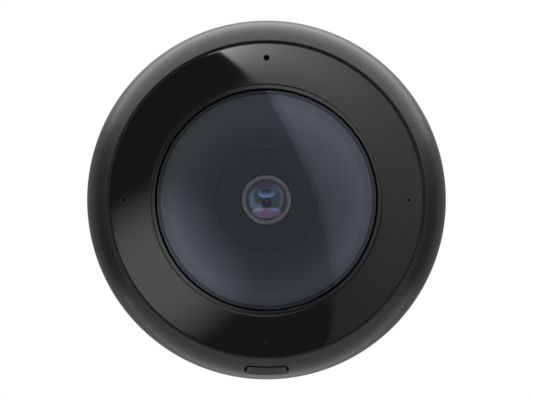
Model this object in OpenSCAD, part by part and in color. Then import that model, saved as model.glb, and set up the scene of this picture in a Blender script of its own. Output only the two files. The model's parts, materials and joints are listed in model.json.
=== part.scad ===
// Round fisheye camera that twists onto a wall plate.
// Inside the modules z is the distance from the wall, y is up the wall and x is to the right,
// as seen from the front. on_wall() stands that on the wall plane. All lengths are millimetres.

/* [Casing] */
// Diameter of the casing at its widest
casing_d = 146; // [144:0.5:156]
// Distance from the wall to the widest place
shoulder_z = 15; // [14.5:0.1:16.5]
// Height of the rounded front above the widest place
front_rise = 14; // [13.6:0.1:15.5]
// Width of the rounded rim, from the groove to the widest place
rim_w = 8.6; // [8.2:0.1:9]
// How far the back of the casing tucks in below the widest place
tuck_w = 6.6; // [6:0.1:7]
// Gap between the wall and the back edge of the casing
wall_gap = 2; // [1.2:0.1:3]
// Wall of the moulded casing
casing_wall = 2.5; // [2:0.1:2.8]
// Thickness of the deck inside the casing
deck_t = 1.5; // [1.2:0.1:1.9]
// Width of the groove round the fascia
groove_w = 1; // [0.5:0.1:1.4]

/* [Fascia] */
// Thickness of the fascia
fascia_t = 1.6; // [1.3:0.1:2]
// How far the fascia's outer edge lies below the rim of the casing
fascia_drop = 0.8; // [0.3:0.1:1.2]
// How much higher the fascia's inner edge lies than its outer edge
fascia_crown = 1.6; // [1:0.1:2.2]
// Distance of the sensor and microphone holes from the fascia's outer edge
pinhole_inset = 5.9; // [5:0.1:6.5]
// Diameter of the light sensor's hole
sensor_hole_d = 2.4; // [1.6:0.1:3]
// Diameter of a microphone hole
mic_hole_d = 1; // [0.6:0.1:1.4]
// Width of the status light
status_w = 2.4; // [1.8:0.1:3]
// Height of the status light
status_h = 1.2; // [0.8:0.1:1.6]

/* [Dome] */
// Diameter of the dome where it leaves its ring
dome_d = 88.8; // [86:0.2:90]
// Height of the dome's ball shape
dome_rise = 13.1; // [12.6:0.1:16]
// Wall of the dome
dome_wall = 2; // [1.6:0.1:2.4]
// Width of the trim ring round the dome
dome_ring_w = 1.6; // [1.3:0.1:2]
// Width of the dark gap between the dome and its ring
dome_gap = 0.6; // [0.4:0.1:0.8]

/* [Lens] */
// Diameter of the disc round the lens
collar_d = 40; // [36:0.5:44]
// Diameter of the lens bezel
bezel_d = 20; // [18.6:0.2:21]
// Diameter of the glass that shows inside the bezel
lens_d = 15.8; // [14.6:0.1:16.2]
// Height of the front lens above its edge
lens_rise = 3.4; // [2.6:0.1:3.8]
// Height of the bezel
bezel_h = 1.3; // [1:0.1:1.6]
// Height of the shroud from its rim to the disc round the lens
shroud_rise = 5.1; // [4:0.1:5.5]

/* [Wall plate] */
// Thickness of the plate on the wall
plate_t = 2.4; // [2:0.1:3]
// Height of the plate with its collar
plate_h = 6.6; // [6.4:0.1:7.2]
// Diameter of the opening for the cable and the cooling fins
plate_open_d = 72; // [71:0.5:74]
// Circle of the wall screws
screw_pcd = 88; // [86:1:90]
// Circle of the two slotted holes
slot_pcd = 83.5; // [82:0.5:84]
// Diameter of a wall screw hole
wall_hole_d = 4.6; // [4:0.1:5.4]
// Thickness of a twist-lock lug
lug_t = 2; // [1.6:0.1:2.2]
// Width of a lug
lug_w = 3; // [2.6:0.1:3.2]
// Turn that frees the camera from the plate, in degrees
twist_a = 30; // [26:1:34]

/* [Rear housing] */
// Thickness of the housing's floor
floor_t = 2.5; // [2:0.1:2.8]
// Thickness of the housing's side wall
housing_wall = 2.5; // [2:0.1:2.9]
// Height of the cooling fins
fin_h = 3.8; // [3:0.1:4.2]
// Distance from fin to fin
fin_pitch = 5; // [4:0.5:7]
// Thickness of the circuit boards
board_t = 1.6; // [1.2:0.1:1.8]
// Width of the network socket
socket_w = 16; // [15.4:0.1:16.8]
// Depth of the network socket, up the wall
socket_d = 13.5; // [13:0.1:14]
// Distance of the network socket below the centre
socket_drop = 22; // [21:0.1:23]

/* [Release tab] */
// Length of the slot in the rim
slot_len = 18.3; // [16:0.1:20]
// Width of the slot
slot_w = 3.4; // [3:0.1:3.6]
// Depth of the tab below the rim's surface
tab_sink = 1.3; // [0.8:0.1:1.8]
// Depth of the tab's raised ends below the rim's surface
tab_end_sink = 0.5; // [0.3:0.1:0.7]
// Length of the slant at each end of the tab's face
tab_slant_w = 1.4; // [1:0.1:2]
// Gap at each end of the tab
tab_end_gap = 1.1; // [0.6:0.1:1.6]
// Travel of the tab towards the wall
tab_travel = 1.6; // [1.2:0.1:1.8]

/* [Filter] */
// Diameter of the clear opening of a filter
filter_open_d = 7; // [6:0.1:7.4]
// Height of the filter housing
filter_h = 6; // [5.6:0.1:6.4]

/* [Hidden] */
$fn = 96;

// Clearances and steps that every piece shares
overrun = 1; // how far a cut runs past a face
arc_steps = 16; // straight steps in a quarter of a rounded outline
fit_gap = 0.1; // between pieces that are set into each other
run_gap = 0.05; // between a pin and its bore
slide_gap = 0.4; // between the twist-lock's faces, along z
turn_gap = 0.5; // between the twist-lock's rims, across
edge_cut = 0.3; // small bevel on a moulded edge

// Casing: radii from the outside in, and levels from the wall up
casing_r = casing_d / 2;
front_z = shoulder_z + front_rise;
lip_r = casing_r - rim_w;
back_open_r = casing_r - tuck_w;
fascia_out_r = lip_r - groove_w;
fascia_edge_z = front_z - fascia_drop;
fascia_low_z = fascia_edge_z - fascia_t;
window_seal_t = 0.2;
seat_w = 2.2; // width of the step below the fascia's outer edge
seat_z = fascia_low_z - window_seal_t;
seat_in_r = fascia_out_r - seat_w;
lamp_room = 2.3; // height for the infrared board and its lamps
deck_top_z = seat_z - lamp_room;
deck_low_z = deck_top_z - deck_t;
relief_z = seat_z - deck_t; // top of the hollow behind the rim

// Dome, its ring and the step in the casing that holds them
dome_r = dome_d / 2;
dome_in_r = dome_r - dome_wall;
dome_flange_w = 1.2;
dome_flange_t = 1.6;
dome_flange_r = dome_r + dome_flange_w;
dome_seal_t = 0.8;
ring_in_r = dome_r + dome_gap;
ring_out_r = ring_in_r + dome_ring_w;
ring_flange_w = 2.4;
ring_flange_t = 1.4;
ring_flange_r = ring_out_r + ring_flange_w;
ring_proud = 0.3; // how far the ring stands above the fascia
fascia_in_r = ring_out_r + fit_gap;
fascia_in_z = fascia_edge_z + fascia_crown;
fascia_in_low_z = fascia_in_z - fascia_t;
ring_seat_z = fascia_in_low_z - ring_flange_t;
dome_low_z = fascia_in_low_z - dome_flange_t;
dome_seat_z = dome_low_z - dome_seal_t;
ring_top_z = fascia_in_z + ring_proud;
dome_edge_drop = 0.5; // the ball shape starts this far below the ring's top
dome_edge_z = ring_top_z - dome_edge_drop;
dome_shelf_w = 1; // ledge inside the dome's foot
collar_step_w = 0.5;
step_in_r = dome_in_r + dome_shelf_w;
step_mid_r = dome_flange_r + fit_gap;
step_out_r = ring_flange_r + collar_step_w;
deck_lap = 2.4; // deck that reaches inside the dome, for the shroud's foot
deck_in_r = dome_in_r - deck_lap;
inner_end_a = 80; // angle at which the ribs' inner outline leaves the rim

// Places on the fascia
pinhole_r = fascia_out_r - pinhole_inset;
infrared_board_t = 1.2;
infrared_in_r = step_out_r + turn_gap;
infrared_out_r = seat_in_r - slide_gap;
infrared_top_z = deck_top_z + infrared_board_t;
lamp_r = (infrared_in_r + infrared_out_r) / 2;
lamp_count = 8;

// Shroud and the disc round the lens
shroud_drop = 2.3; // the shroud's rim lies this far below the foot of the dome's ball shape
shroud_gap = 0.2;
shroud_t = 1.6;
shroud_rim_r = dome_in_r - shroud_gap;
shroud_rim_z = dome_edge_z - shroud_drop;
collar_r = collar_d / 2;
collar_gap = 0.3;
collar_t = 1.2;
ledge_w = 2.1;
shroud_hole_r = collar_r + collar_gap;

// Lens
bezel_r = bezel_d / 2;
lens_r = lens_d / 2;
head_proud = 0.7; // the barrel's head stands this far above the disc
head_h = 4.2;
neck_r = 6;
lens_flange_w = 0.8;
lens_flange_t = 1.2;
lens_lift = 0.8; // straight wall of the front lens above its flange
lens_hollow_r = 6.2;
glass_r = 4.8; // radius of the inner lenses
bore_lip = 0.8;

// Back: plate, twist-lock and housing
ear_gap = 0.5;
boss_r = 2.7;
boss_gap = 0.3;
rim_step = 1.2;
rim_h = 3; // height of the thick rim round the housing's mouth
screw_r = back_open_r - ear_gap - boss_r;
rim_out_r = screw_r - boss_r - boss_gap;
wall_out_r = rim_out_r - rim_step;
wall_in_r = wall_out_r - housing_wall;
keeper_ring_w = 4;
keeper_out_r = rim_out_r - shroud_gap;
keeper_in_r = keeper_out_r - keeper_ring_w;
lug_out_r = keeper_in_r - turn_gap;
plate_collar_r = lug_out_r - lug_w;
plate_collar_w = 2.5;
keeper_tip_r = plate_collar_r + turn_gap;
plate_edge_in = 1.5; // the plate's floor ends this far inside the lugs
plate_r = lug_out_r - plate_edge_in;
plate_open_r = plate_open_d / 2;
lug_low_z = plate_h - lug_t;
lug_drop = 0.2; // the collar stands this far above the lugs
lug_top_z = plate_h - lug_drop;
keeper_low_z = plate_t + fit_gap * 2;
keeper_top_z = lug_low_z - slide_gap;
back_z = plate_h + slide_gap;
floor_z = back_z + floor_t;
lock_count = 3; // lugs, and keepers
lock_start_a = 90; // the first lug is at 12 o'clock
lug_a = 24; // angle that a lug spans
keeper_a = 20; // angle that a keeper spans
stop_a = 1.5; // angle that a stop spans
stop_gap_a = 0.3; // angle between a keeper and its stop
six_a = -90; // 6 o'clock

// Housing's mouth and seal
rim_land = 1;
mouth_gap = 0.5;
mouth_z = deck_low_z - mouth_gap;
seal_groove_in_r = wall_in_r + rim_land;
seal_groove_out_r = rim_out_r - rim_land;
seal_depth = 1.3;
ear_h = 3.5;
ear_count = 4;
ear_start_a = 45;
screw_shank_r = 1.5;
screw_head_r = 2.6;
screw_head_h = 1.8;
pilot_gap = 0.05;
casing_pilot_h = 10; // depth of the hole in a casing boss
screw_tip_gap = 0.5;

// Sensor board and filter
sensor_post_h = 3.5;
sensor_board_z = floor_z + sensor_post_h;
sensor_top_z = sensor_board_z + board_t;
sensor_board_size = [44, 26];
sensor_post_inset = 2.5;
sensor_post_at = [sensor_board_size[0] / 2 - sensor_post_inset, sensor_board_size[1] / 2 - sensor_post_inset];
sensor_post_r = 2.2;
small_screw_r = 1;
small_head_r = 1.6;
small_head_h = 1;
filter_size = [32, 17];
filter_top_z = sensor_top_z + filter_h;
slot_roof_t = 2; // roof of the filter's slot
filter_slot_h = 1.4;
filter_slot_size = [29.2, 10.8];
filter_slot_z = filter_top_z - slot_roof_t - filter_slot_h;
filter_floor_t = 0.6;
filter_wall = 0.6; // wall of the carrier outside a filter
carrier_gap = 0.2;
carrier_t = filter_slot_h - 2 * carrier_gap;
carrier_z = filter_slot_z + carrier_gap;
filter_lip = 0.5;
filter_r = filter_open_d / 2 + filter_lip;
filter_pitch = 2 * filter_r + 2 * filter_wall;
carrier_end = 0.9;
carrier_size = [filter_pitch + 2 * filter_r + 2 * carrier_end, filter_slot_size[1] - 2 * carrier_gap];
carrier_lip_t = 0.4;
filter_glass_t = 0.5;
filter_glass_gap = 0.03;
sensor_size = [12.8, 9.6];
sensor_t = 1.2;
sensor_window_size = [9.6, 7.2];
sensor_window_depth = 0.2;
holder_h = 6;
holder_wall = 2.2;
holder_base_t = 1.4;
neck_gap = 0.4;

// Main board and what it carries
board_gap = 0.8;
main_top_z = deck_low_z - board_gap;
main_low_z = main_top_z - board_t;
board_edge_gap = 1.7;
main_board_r = wall_in_r - board_edge_gap;
main_hole_size = [56, 28];
main_hole_corner_r = 4;
main_post_at = [31.2, 18];
main_post_r = 3;
main_screw_bite = 6; // how far a board screw reaches into its post
chip_size = 14;
chip_t = 1.2;
chip_y = 30;
pad_t = 1;
pad_margin = 1;
memory_size = [9, 11];
memory_t = 1;
memory_x = 17;
transformer_size = [16, 9];
transformer_h = 5;
transformer_gap = 2.5;
capacitor_r = 3;
capacitor_h = 6.5;
capacitor_at = [[-20, -31], [-27.5, -27], [-34, -32]];

// Network socket, its well and its seal
socket_y = -socket_drop;
socket_lift = 0.6;
socket_low_z = back_z + socket_lift;
well_gap = 0.3;
socket_room = 1; // round the socket, where a board passes it
plug_w = 11.8;
plug_d = 6.8;
plug_step_w = 6.4;
plug_step_d = 1.9;
plug_depth = 10.6;
contact_count = 8;
contact_pitch = 1.02;
contact_w = 0.4;
contact_t = 0.35;
contact_len = 8;
cable_collar_gap = 0.3;
cable_collar_r = norm([socket_w / 2 + well_gap, socket_d / 2 + well_gap]) + cable_collar_gap;
cable_way = 0.9; // the plate leaves this much room round the cable's collar
cable_collar_wall = 1.8;
cable_collar_h = 3.5;
cable_seal_w = 3;
cable_seal_proud = 0.4;

// Fins, vent and reset
fin_t = 1.6;
fin_margin = 1.5;
fin_r = plate_open_r - fin_margin;
fin_clear = 1.5;
vent_at = [-20, -22];
vent_r = 5;
vent_cap_h = 2.4;
vent_stem_r = 2.9;
vent_nut_h = 1.5;
vent_nut_r = 4.2;
reset_at = [20, -22];
reset_r = 1.5;
reset_guide_r = 3;
reset_guide_h = 3;
reset_flange_r = 2.3;
reset_flange_t = 0.8;
reset_sink = 0.4; // the plunger's end lies this far inside the back face
reset_travel = 0.35;
switch_size = 6;
switch_h = 3.4;
stem_r = 1.7;
stem_out = 0.8;
stem_in = 1.2;

// Release tab, sleeve and leaf
tab_inset = 4; // from the widest place to the middle of the slot
tab_r = casing_r - tab_inset;
tab_side_gap = 0.2;
sleeve_wall = 1.2;
sleeve_rise = 2;
sleeve_low_z = shoulder_z + sleeve_rise;
tab_flange_gap = 0.3;
tab_flange_t = 1.4;
tab_flange_over = 1;
tab_flange_in = 4.8; // the flange reaches this far in from the slot's middle
tab_flange_out = 1;
tab_step = 0.05; // between the outlines of the tab's head and of its raised ends
tab_stem_w = 8;
tab_stem_t = 1.6;
tab_stem_step = 0.4; // the stem stands this far inside the flange's edge
tab_stem_in_r = tab_r - tab_flange_in + tab_stem_step;
leaf_t = 0.4;
leaf_drop = 1.6;
leaf_low_z = back_z - leaf_drop;
leaf_w = 3;
leaf_a = 20; // angle from the leaf's screw to its free end
leaf_end_a = 3.5; // the free end reaches this far past 6 o'clock
leaf_tooth_a = 7;
leaf_tooth_h = 1.2;
leaf_touch_gap = 0.1;
catch_a = 6;
catch_gap_a = 0.5;
catch_in = 0.2;
keeper_gap_a = 40; // gap in the keeper ring for the leaf
leaf_pad_a = 5;

// A quarter or more of an ellipse, as points
function ellipse_arc(centre, radii, from, to) = [
    for (i = [0:arc_steps])
        let (a = from + (to - from) * i / arc_steps)
            [centre[0] + radii[0] * cos(a), centre[1] + radii[1] * sin(a)]
];

// Height of the shroud's smooth top at a distance from the centre
function shroud_z(r) =
    shroud_rim_z
    + shroud_rise * (pow(shroud_rim_r, 2) - pow(r, 2)) / (pow(shroud_rim_r, 2) - pow(collar_r, 2));

// The shroud's top line between two distances, lowered by a drop
function shroud_line(from, to, drop) = [
    for (i = [0:arc_steps])
        let (r = from + (to - from) * i / arc_steps)
            [r, shroud_z(r) - drop]
];

// Height of the fascia's crowned top at a distance from the centre
function fascia_z(r) =
    fascia_edge_z + fascia_crown * (1 - pow((r - fascia_in_r) / (fascia_out_r - fascia_in_r), 2));

// Radius of a ball that spans a base radius with a rise
function ball_r(base, rise) = (pow(base, 2) + pow(rise, 2)) / (2 * rise);

// Line of a ball's surface from its rim to its top, as [radius, height] above the rim
function ball_line(base, rise) = [
    for (i = [0:arc_steps])
        let (r = ball_r(base, rise), a = asin(base / r) * (1 - i / arc_steps))
            [r * sin(a), r * cos(a) - r + rise]
];

function raised(points, z) = [for (p = points) [p[0], p[1] + z]];
function turned_back(points) = [for (i = [len(points) - 1:-1:0]) points[i]];

module on_wall() rotate([90, 0, 0]) children();

module at_polar(r, a) rotate([0, 0, a]) translate([r, 0, 0]) children();

module at_corners(at) for (x = [-1, 1], y = [-1, 1]) translate([x * at[0], y * at[1], 0]) children();

module spread(count, start) for (i = [0:count - 1]) rotate([0, 0, start + i * 360 / count]) children();

module post(r, low, high) translate([0, 0, low]) cylinder(r = r, h = high - low);

module block(w, d, low, high) translate([-w / 2, -d / 2, low]) cube([w, d, high - low]);

module ring(r_in, r_out, low, high) difference() {
    post(r_out, low, high);
    post(r_in, low - overrun, high + overrun);
}

// Part of a ring, between two angles
module sector(r_in, r_out, low, high, from, to)
    rotate([0, 0, from]) rotate_extrude(angle = to - from)
        translate([r_in, low]) square([r_out - r_in, high - low]);

// Slot with round ends that follows a circle, at 6 o'clock
module arc_slot(r, w, len, low, high) {
    half_a = asin((len - w) / 2 / r);
    sector(r - w / 2, r + w / 2, low, high, six_a - half_a, six_a + half_a);
    for (side = [-1, 1]) at_polar(r, six_a + side * half_a) rotate([0, 0, -90 * side]) post(w / 2, low, high);
}

// Screw with a six-sided recess: its head rests at seat, and its tip points to tip
module screw(head_r, head_h, shank_r, seat, tip) {
    way = sign(tip - seat);
    head_end = seat - way * head_h;
    recess = head_h / 2;
    difference() {
        union() {
            post(head_r, min(seat, head_end), max(seat, head_end));
            post(shank_r, min(head_end + way * recess, tip), max(head_end + way * recess, tip));
        }
        translate([0, 0, min(head_end, head_end + way * recess) - (way > 0 ? overrun : 0)])
            cylinder(r = head_r / 2, h = recess + overrun, $fn = 6);
    }
}

// Solid inside the rounded front of the casing, lowered by a drop
module front_form(drop) rotate_extrude() polygon(concat(
    ellipse_arc([lip_r, shoulder_z - drop], [rim_w, front_rise], 0, 90),
    [[0, front_z - drop], [0, shoulder_z - drop]]
));

// Solid inside the casing's inner wall
module inner_form() rotate_extrude() polygon(concat(
    [[0, wall_gap + casing_wall]],
    ellipse_arc([back_open_r, shoulder_z],
        [tuck_w - casing_wall / 2, shoulder_z - wall_gap - casing_wall], -90, 0),
    ellipse_arc([lip_r, shoulder_z], [rim_w - casing_wall / 2, front_rise - casing_wall], 0, inner_end_a),
    [[0, deck_top_z]]
));

// Wall plate: the floor on the wall, the collar with its lugs and stops, ribs and screw holes
module wall_plate() {
    open_rim_w = 2;
    open_rim_h = 2.1;
    rib_t = 1.6;
    rib_count = 8;
    slot_a = 8;
    sink_depth = 1.2;
    collar_in_r = plate_collar_r - plate_collar_w;
    lug_step = 360 / lock_count;
    color([0.16, 0.16, 0.17]) on_wall() difference() {
        union() {
            ring(plate_open_r, plate_r, 0, plate_t);
            ring(collar_in_r, plate_collar_r, 0, plate_h);
            ring(plate_open_r, plate_open_r + open_rim_w, 0, plate_t + open_rim_h);
            spread(rib_count, 180 / rib_count)
                translate([plate_open_r + open_rim_w / 2, -rib_t / 2, plate_t / 2])
                    cube([collar_in_r + plate_collar_w / 2 - plate_open_r - open_rim_w / 2, rib_t,
                        plate_t / 2 + open_rim_h]);
            for (i = [0:lock_count - 1]) {
                middle = lock_start_a + i * lug_step;
                keeper_end = middle + keeper_a / 2 + twist_a + stop_gap_a;
                sector(collar_in_r + fit_gap, lug_out_r, lug_low_z, lug_top_z,
                    middle - lug_a / 2, middle + lug_a / 2);
                sector(collar_in_r + fit_gap, lug_out_r - catch_in, plate_t / 2, lug_low_z + lug_t / 2,
                    middle - keeper_a / 2 - stop_gap_a - stop_a, middle - keeper_a / 2 - stop_gap_a);
                sector(collar_in_r + fit_gap, lug_out_r - catch_in, plate_t / 2, lug_low_z + lug_t / 2,
                    keeper_end, keeper_end + stop_a);
            }
            sector(collar_in_r + fit_gap, lug_out_r - catch_in, lug_low_z, lug_top_z,
                six_a + leaf_end_a + catch_gap_a, six_a + leaf_end_a + catch_gap_a + catch_a);
        }
        spread(4, 45) translate([screw_pcd / 2, 0, 0]) {
            post(wall_hole_d / 2, -overrun, plate_t + overrun);
            translate([0, 0, plate_t - sink_depth])
                cylinder(r1 = wall_hole_d / 2, r2 = wall_hole_d / 2 + sink_depth + overrun,
                    h = sink_depth + overrun);
        }
        spread(2, 0) {
            sector(slot_pcd / 2 - wall_hole_d / 2, slot_pcd / 2 + wall_hole_d / 2,
                -overrun, plate_t + overrun, -slot_a, slot_a);
            for (side = [-1, 1]) at_polar(slot_pcd / 2, side * slot_a) rotate([0, 0, -90 * side])
                post(wall_hole_d / 2, -overrun, plate_t + overrun);
        }
        for (turn = [0, twist_a]) rotate([0, 0, turn]) translate([0, socket_y, 0])
            post(cable_collar_r + cable_collar_wall + cable_way, -overrun, plate_h + overrun);
    }
}

// Outline of the cooling fins: a round field with clear spaces round the socket, vent and reset
module fin_field() difference() {
    post(fin_r, back_z - fin_h, back_z + floor_t / 2);
    translate([0, socket_y, 0])
        post(cable_collar_r + cable_collar_wall + fin_clear, back_z - fin_h - overrun, back_z);
    translate([vent_at[0], vent_at[1], 0]) post(vent_r + fin_clear, back_z - fin_h - overrun, back_z);
    translate([reset_at[0], reset_at[1], 0])
        post(reset_guide_r + fin_clear, back_z - fin_h - overrun, back_z);
}

// Rear housing: a cast cup with fins on its back, and posts, pads and the socket's well inside
module rear_housing() {
    pilot_r = screw_shank_r + pilot_gap;
    fin_steps = floor(fin_r / fin_pitch);
    pad_low_z = main_low_z - chip_t - pad_t;
    keeper_pilot_depth = 4;
    color([0.3, 0.3, 0.31]) on_wall() difference() {
        union() {
            post(wall_out_r, back_z, floor_z);
            ring(wall_in_r, wall_out_r, back_z, mouth_z);
            ring(wall_in_r, rim_out_r, mouth_z - rim_h, mouth_z);
            spread(ear_count, ear_start_a) {
                translate([screw_r, 0, 0]) post(boss_r, back_z, back_z + ear_h);
                translate([wall_in_r + fit_gap, -boss_r, back_z])
                    cube([screw_r - wall_in_r - fit_gap, 2 * boss_r, ear_h]);
            }
            intersection() {
                fin_field();
                for (i = [-fin_steps:fin_steps]) translate([i * fin_pitch, 0, 0])
                    block(fin_t, 2 * fin_r, back_z - fin_h, back_z + floor_t / 2);
            }
            translate([0, socket_y, 0])
                ring(cable_collar_r, cable_collar_r + cable_collar_wall,
                    back_z - cable_collar_h, back_z + fit_gap);
            at_corners(main_post_at) post(main_post_r, back_z + fit_gap, main_low_z);
            at_corners(sensor_post_at) post(sensor_post_r, back_z + fit_gap, sensor_board_z);
            translate([0, chip_y, 0])
                block(chip_size + 2 * pad_margin, chip_size + 2 * pad_margin, back_z + fit_gap, pad_low_z);
            translate([reset_at[0], reset_at[1], 0])
                post(reset_guide_r, back_z + fit_gap, floor_z + reset_guide_h);
            sector(keeper_in_r + fit_gap, keeper_out_r - fit_gap, leaf_low_z + leaf_t, back_z + fit_gap,
                six_a + leaf_end_a - leaf_a - leaf_pad_a / 2, six_a + leaf_end_a - leaf_a + leaf_pad_a / 2);
        }
        ring(seal_groove_in_r, seal_groove_out_r, mouth_z - seal_depth, mouth_z + overrun);
        spread(ear_count, ear_start_a) translate([screw_r, 0, 0])
            post(pilot_r, back_z - overrun, back_z + ear_h + overrun);
        translate([0, socket_y, 0])
            block(socket_w + 2 * well_gap, socket_d + 2 * well_gap, back_z - overrun, floor_z + overrun);
        translate([vent_at[0], vent_at[1], 0])
            post(vent_stem_r + fit_gap, back_z - overrun, floor_z + overrun);
        translate([reset_at[0], reset_at[1], 0])
            post(reset_r + run_gap, back_z - overrun, floor_z + reset_guide_h + overrun);
        at_corners(main_post_at) post(small_screw_r + pilot_gap, floor_z, main_low_z + overrun);
        at_corners(sensor_post_at)
            post(small_screw_r + pilot_gap, back_z + floor_t / 2, sensor_board_z + overrun);
        spread(lock_count, lock_start_a + 180 / lock_count - 90 / lock_count)
            translate([(keeper_in_r + keeper_out_r) / 2, 0, 0])
                post(small_screw_r + pilot_gap, back_z - overrun, back_z + keeper_pilot_depth);
        at_polar((keeper_in_r + keeper_out_r) / 2, six_a + leaf_end_a - leaf_a - leaf_pad_a / 4)
            post(small_screw_r + pilot_gap, leaf_low_z, back_z + keeper_pilot_depth);
    }
}

// Keeper ring: an open ring screwed to the housing, with three keepers that turn in behind the lugs
module keeper_ring() color([0.22, 0.22, 0.23]) on_wall() difference() {
    union() {
        sector(keeper_in_r, keeper_out_r, keeper_low_z, back_z,
            six_a + keeper_gap_a / 2, six_a + 360 - keeper_gap_a / 2);
        spread(lock_count, lock_start_a)
            sector(keeper_tip_r, keeper_in_r + keeper_ring_w / 2, keeper_low_z, keeper_top_z,
                -keeper_a / 2, keeper_a / 2);
    }
    spread(lock_count, lock_start_a + 180 / lock_count - 90 / lock_count)
        translate([(keeper_in_r + keeper_out_r) / 2, 0, 0]) {
            post(small_screw_r + pilot_gap, keeper_low_z - overrun, back_z + overrun);
            post(small_head_r + pilot_gap, keeper_low_z - overrun, keeper_low_z + small_head_h);
        }
}

module keeper_screws() color([0.6, 0.6, 0.62]) on_wall()
    spread(lock_count, lock_start_a + 180 / lock_count - 90 / lock_count)
        translate([(keeper_in_r + keeper_out_r) / 2, 0, 0])
            screw(small_head_r, small_head_h, small_screw_r, keeper_low_z + small_head_h, floor_z);

// Latch leaf: a flat spring along the ring's gap. Its tooth stands beside the plate's catch, and
// its finger reaches out under the release tab
module latch_leaf() {
    free_a = six_a + leaf_end_a;
    finger_out_r = tab_stem_in_r + tab_stem_t;
    middle_r = (keeper_in_r + keeper_out_r) / 2;
    tooth_low_z = leaf_low_z + leaf_t - leaf_tooth_h;
    color([0.7, 0.7, 0.72]) on_wall() difference() {
        union() {
            sector(middle_r - leaf_w / 2, middle_r + leaf_w / 2, leaf_low_z, leaf_low_z + leaf_t,
                free_a - leaf_a - leaf_pad_a / 2, free_a);
            sector(keeper_tip_r, middle_r, leaf_low_z, leaf_low_z + leaf_t, free_a - leaf_tooth_a, free_a);
            sector(keeper_tip_r, middle_r - leaf_w / 2, tooth_low_z, leaf_low_z + leaf_t,
                free_a - leaf_tooth_a / 4, free_a);
            sector(middle_r, finger_out_r, leaf_low_z, leaf_low_z + leaf_t, free_a - leaf_tooth_a, free_a);
        }
        at_polar(middle_r, free_a - leaf_a - leaf_pad_a / 4)
            post(small_screw_r + pilot_gap, leaf_low_z - overrun, leaf_low_z + leaf_t + overrun);
    }
}

module latch_screw() color([0.6, 0.6, 0.62]) on_wall()
    at_polar((keeper_in_r + keeper_out_r) / 2, six_a + leaf_end_a - leaf_a - leaf_pad_a / 4)
        screw(small_head_r, small_head_h, small_screw_r, leaf_low_z, floor_z);

// Front casing: one moulded shell with the rounded rim, the steps that hold the fascia and the
// dome, the deck, the bosses for the casing screws, ribs and the sleeve of the release tab
module front_casing() {
    relief_a = asin((relief_z - shoulder_z) / (front_rise - casing_wall));
    boss_low_z = back_z + ear_h + fit_gap;
    rib_t = 1.4;
    rib_h = 6;
    rib_count = 8;
    rib_in_r = rim_out_r + ear_gap;
    color([0.17, 0.17, 0.18]) on_wall() difference() {
        union() {
            rotate_extrude() polygon(concat(
                ellipse_arc([back_open_r, shoulder_z], [tuck_w, shoulder_z - wall_gap], -90, 0),
                ellipse_arc([lip_r + edge_cut, shoulder_z], [rim_w - edge_cut, front_rise], 0, 90),
                [
                    [lip_r, front_z - edge_cut], [lip_r, seat_z], [seat_in_r, seat_z],
                    [seat_in_r, deck_top_z], [step_out_r, deck_top_z], [step_out_r, ring_seat_z],
                    [step_mid_r, ring_seat_z], [step_mid_r, dome_seat_z], [step_in_r, dome_seat_z],
                    [step_in_r, deck_top_z], [deck_in_r, deck_top_z], [deck_in_r, deck_low_z],
                    [lip_r, deck_low_z], [lip_r, relief_z]
                ],
                ellipse_arc([lip_r, shoulder_z],
                    [rim_w - casing_wall, front_rise - casing_wall], relief_a, 0),
                ellipse_arc([back_open_r, shoulder_z],
                    [tuck_w - casing_wall, shoulder_z - wall_gap - casing_wall], 0, -90)
            ));
            spread(ear_count, ear_start_a) translate([screw_r, 0, 0])
                post(boss_r, boss_low_z, deck_low_z + deck_t / 2);
            intersection() {
                inner_form();
                spread(rib_count, 180 / rib_count) translate([rib_in_r, -rib_t / 2, deck_low_z - rib_h])
                    cube([casing_r - rib_in_r, rib_t, rib_h + deck_t / 2]);
            }
            intersection() {
                front_form(0);
                arc_slot(tab_r, slot_w + 2 * sleeve_wall, slot_len + 2 * sleeve_wall, sleeve_low_z, front_z);
            }
        }
        arc_slot(tab_r, slot_w, slot_len,
            sleeve_low_z - tab_flange_t - tab_travel - overrun, front_z + overrun);
        spread(ear_count, ear_start_a) translate([screw_r, 0, 0])
            post(screw_shank_r + pilot_gap, boss_low_z - overrun, boss_low_z + casing_pilot_h);
    }
}

module casing_screws() {
    color([0.6, 0.6, 0.62]) on_wall() spread(ear_count, ear_start_a) translate([screw_r, 0, 0])
        screw(screw_head_r, screw_head_h, screw_shank_r, back_z,
            back_z + ear_h + casing_pilot_h - screw_tip_gap);
}

module casing_seal() color([0.05, 0.05, 0.05]) on_wall()
    ring(seal_groove_in_r + fit_gap, seal_groove_out_r - fit_gap, mouth_z - seal_depth, deck_low_z);

// Slope of the rim at a distance from the centre, in degrees
function rim_slope(r) =
    let (share = (r - lip_r) / rim_w) atan2(front_rise * share, rim_w * sqrt(1 - share * share));

// Front part of the release tab: it follows the rim, lowered by a sink, and is narrowed by a step
module tab_head(low_z, sink, step) {
    head_w = slot_w - 2 * tab_side_gap - 2 * step;
    half_a = asin((slot_len / 2 - tab_end_gap - step) / tab_r);
    from_a = acos((tab_r + head_w / 2 - lip_r) / rim_w);
    to_a = acos((tab_r - head_w / 2 - lip_r) / rim_w);
    rotate([0, 0, six_a - half_a]) rotate_extrude(angle = 2 * half_a) polygon(concat(
        [[tab_r - head_w / 2, low_z], [tab_r + head_w / 2, low_z]],
        ellipse_arc([lip_r, shoulder_z - sink], [rim_w, front_rise], from_a, to_a)
    ));
}

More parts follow.
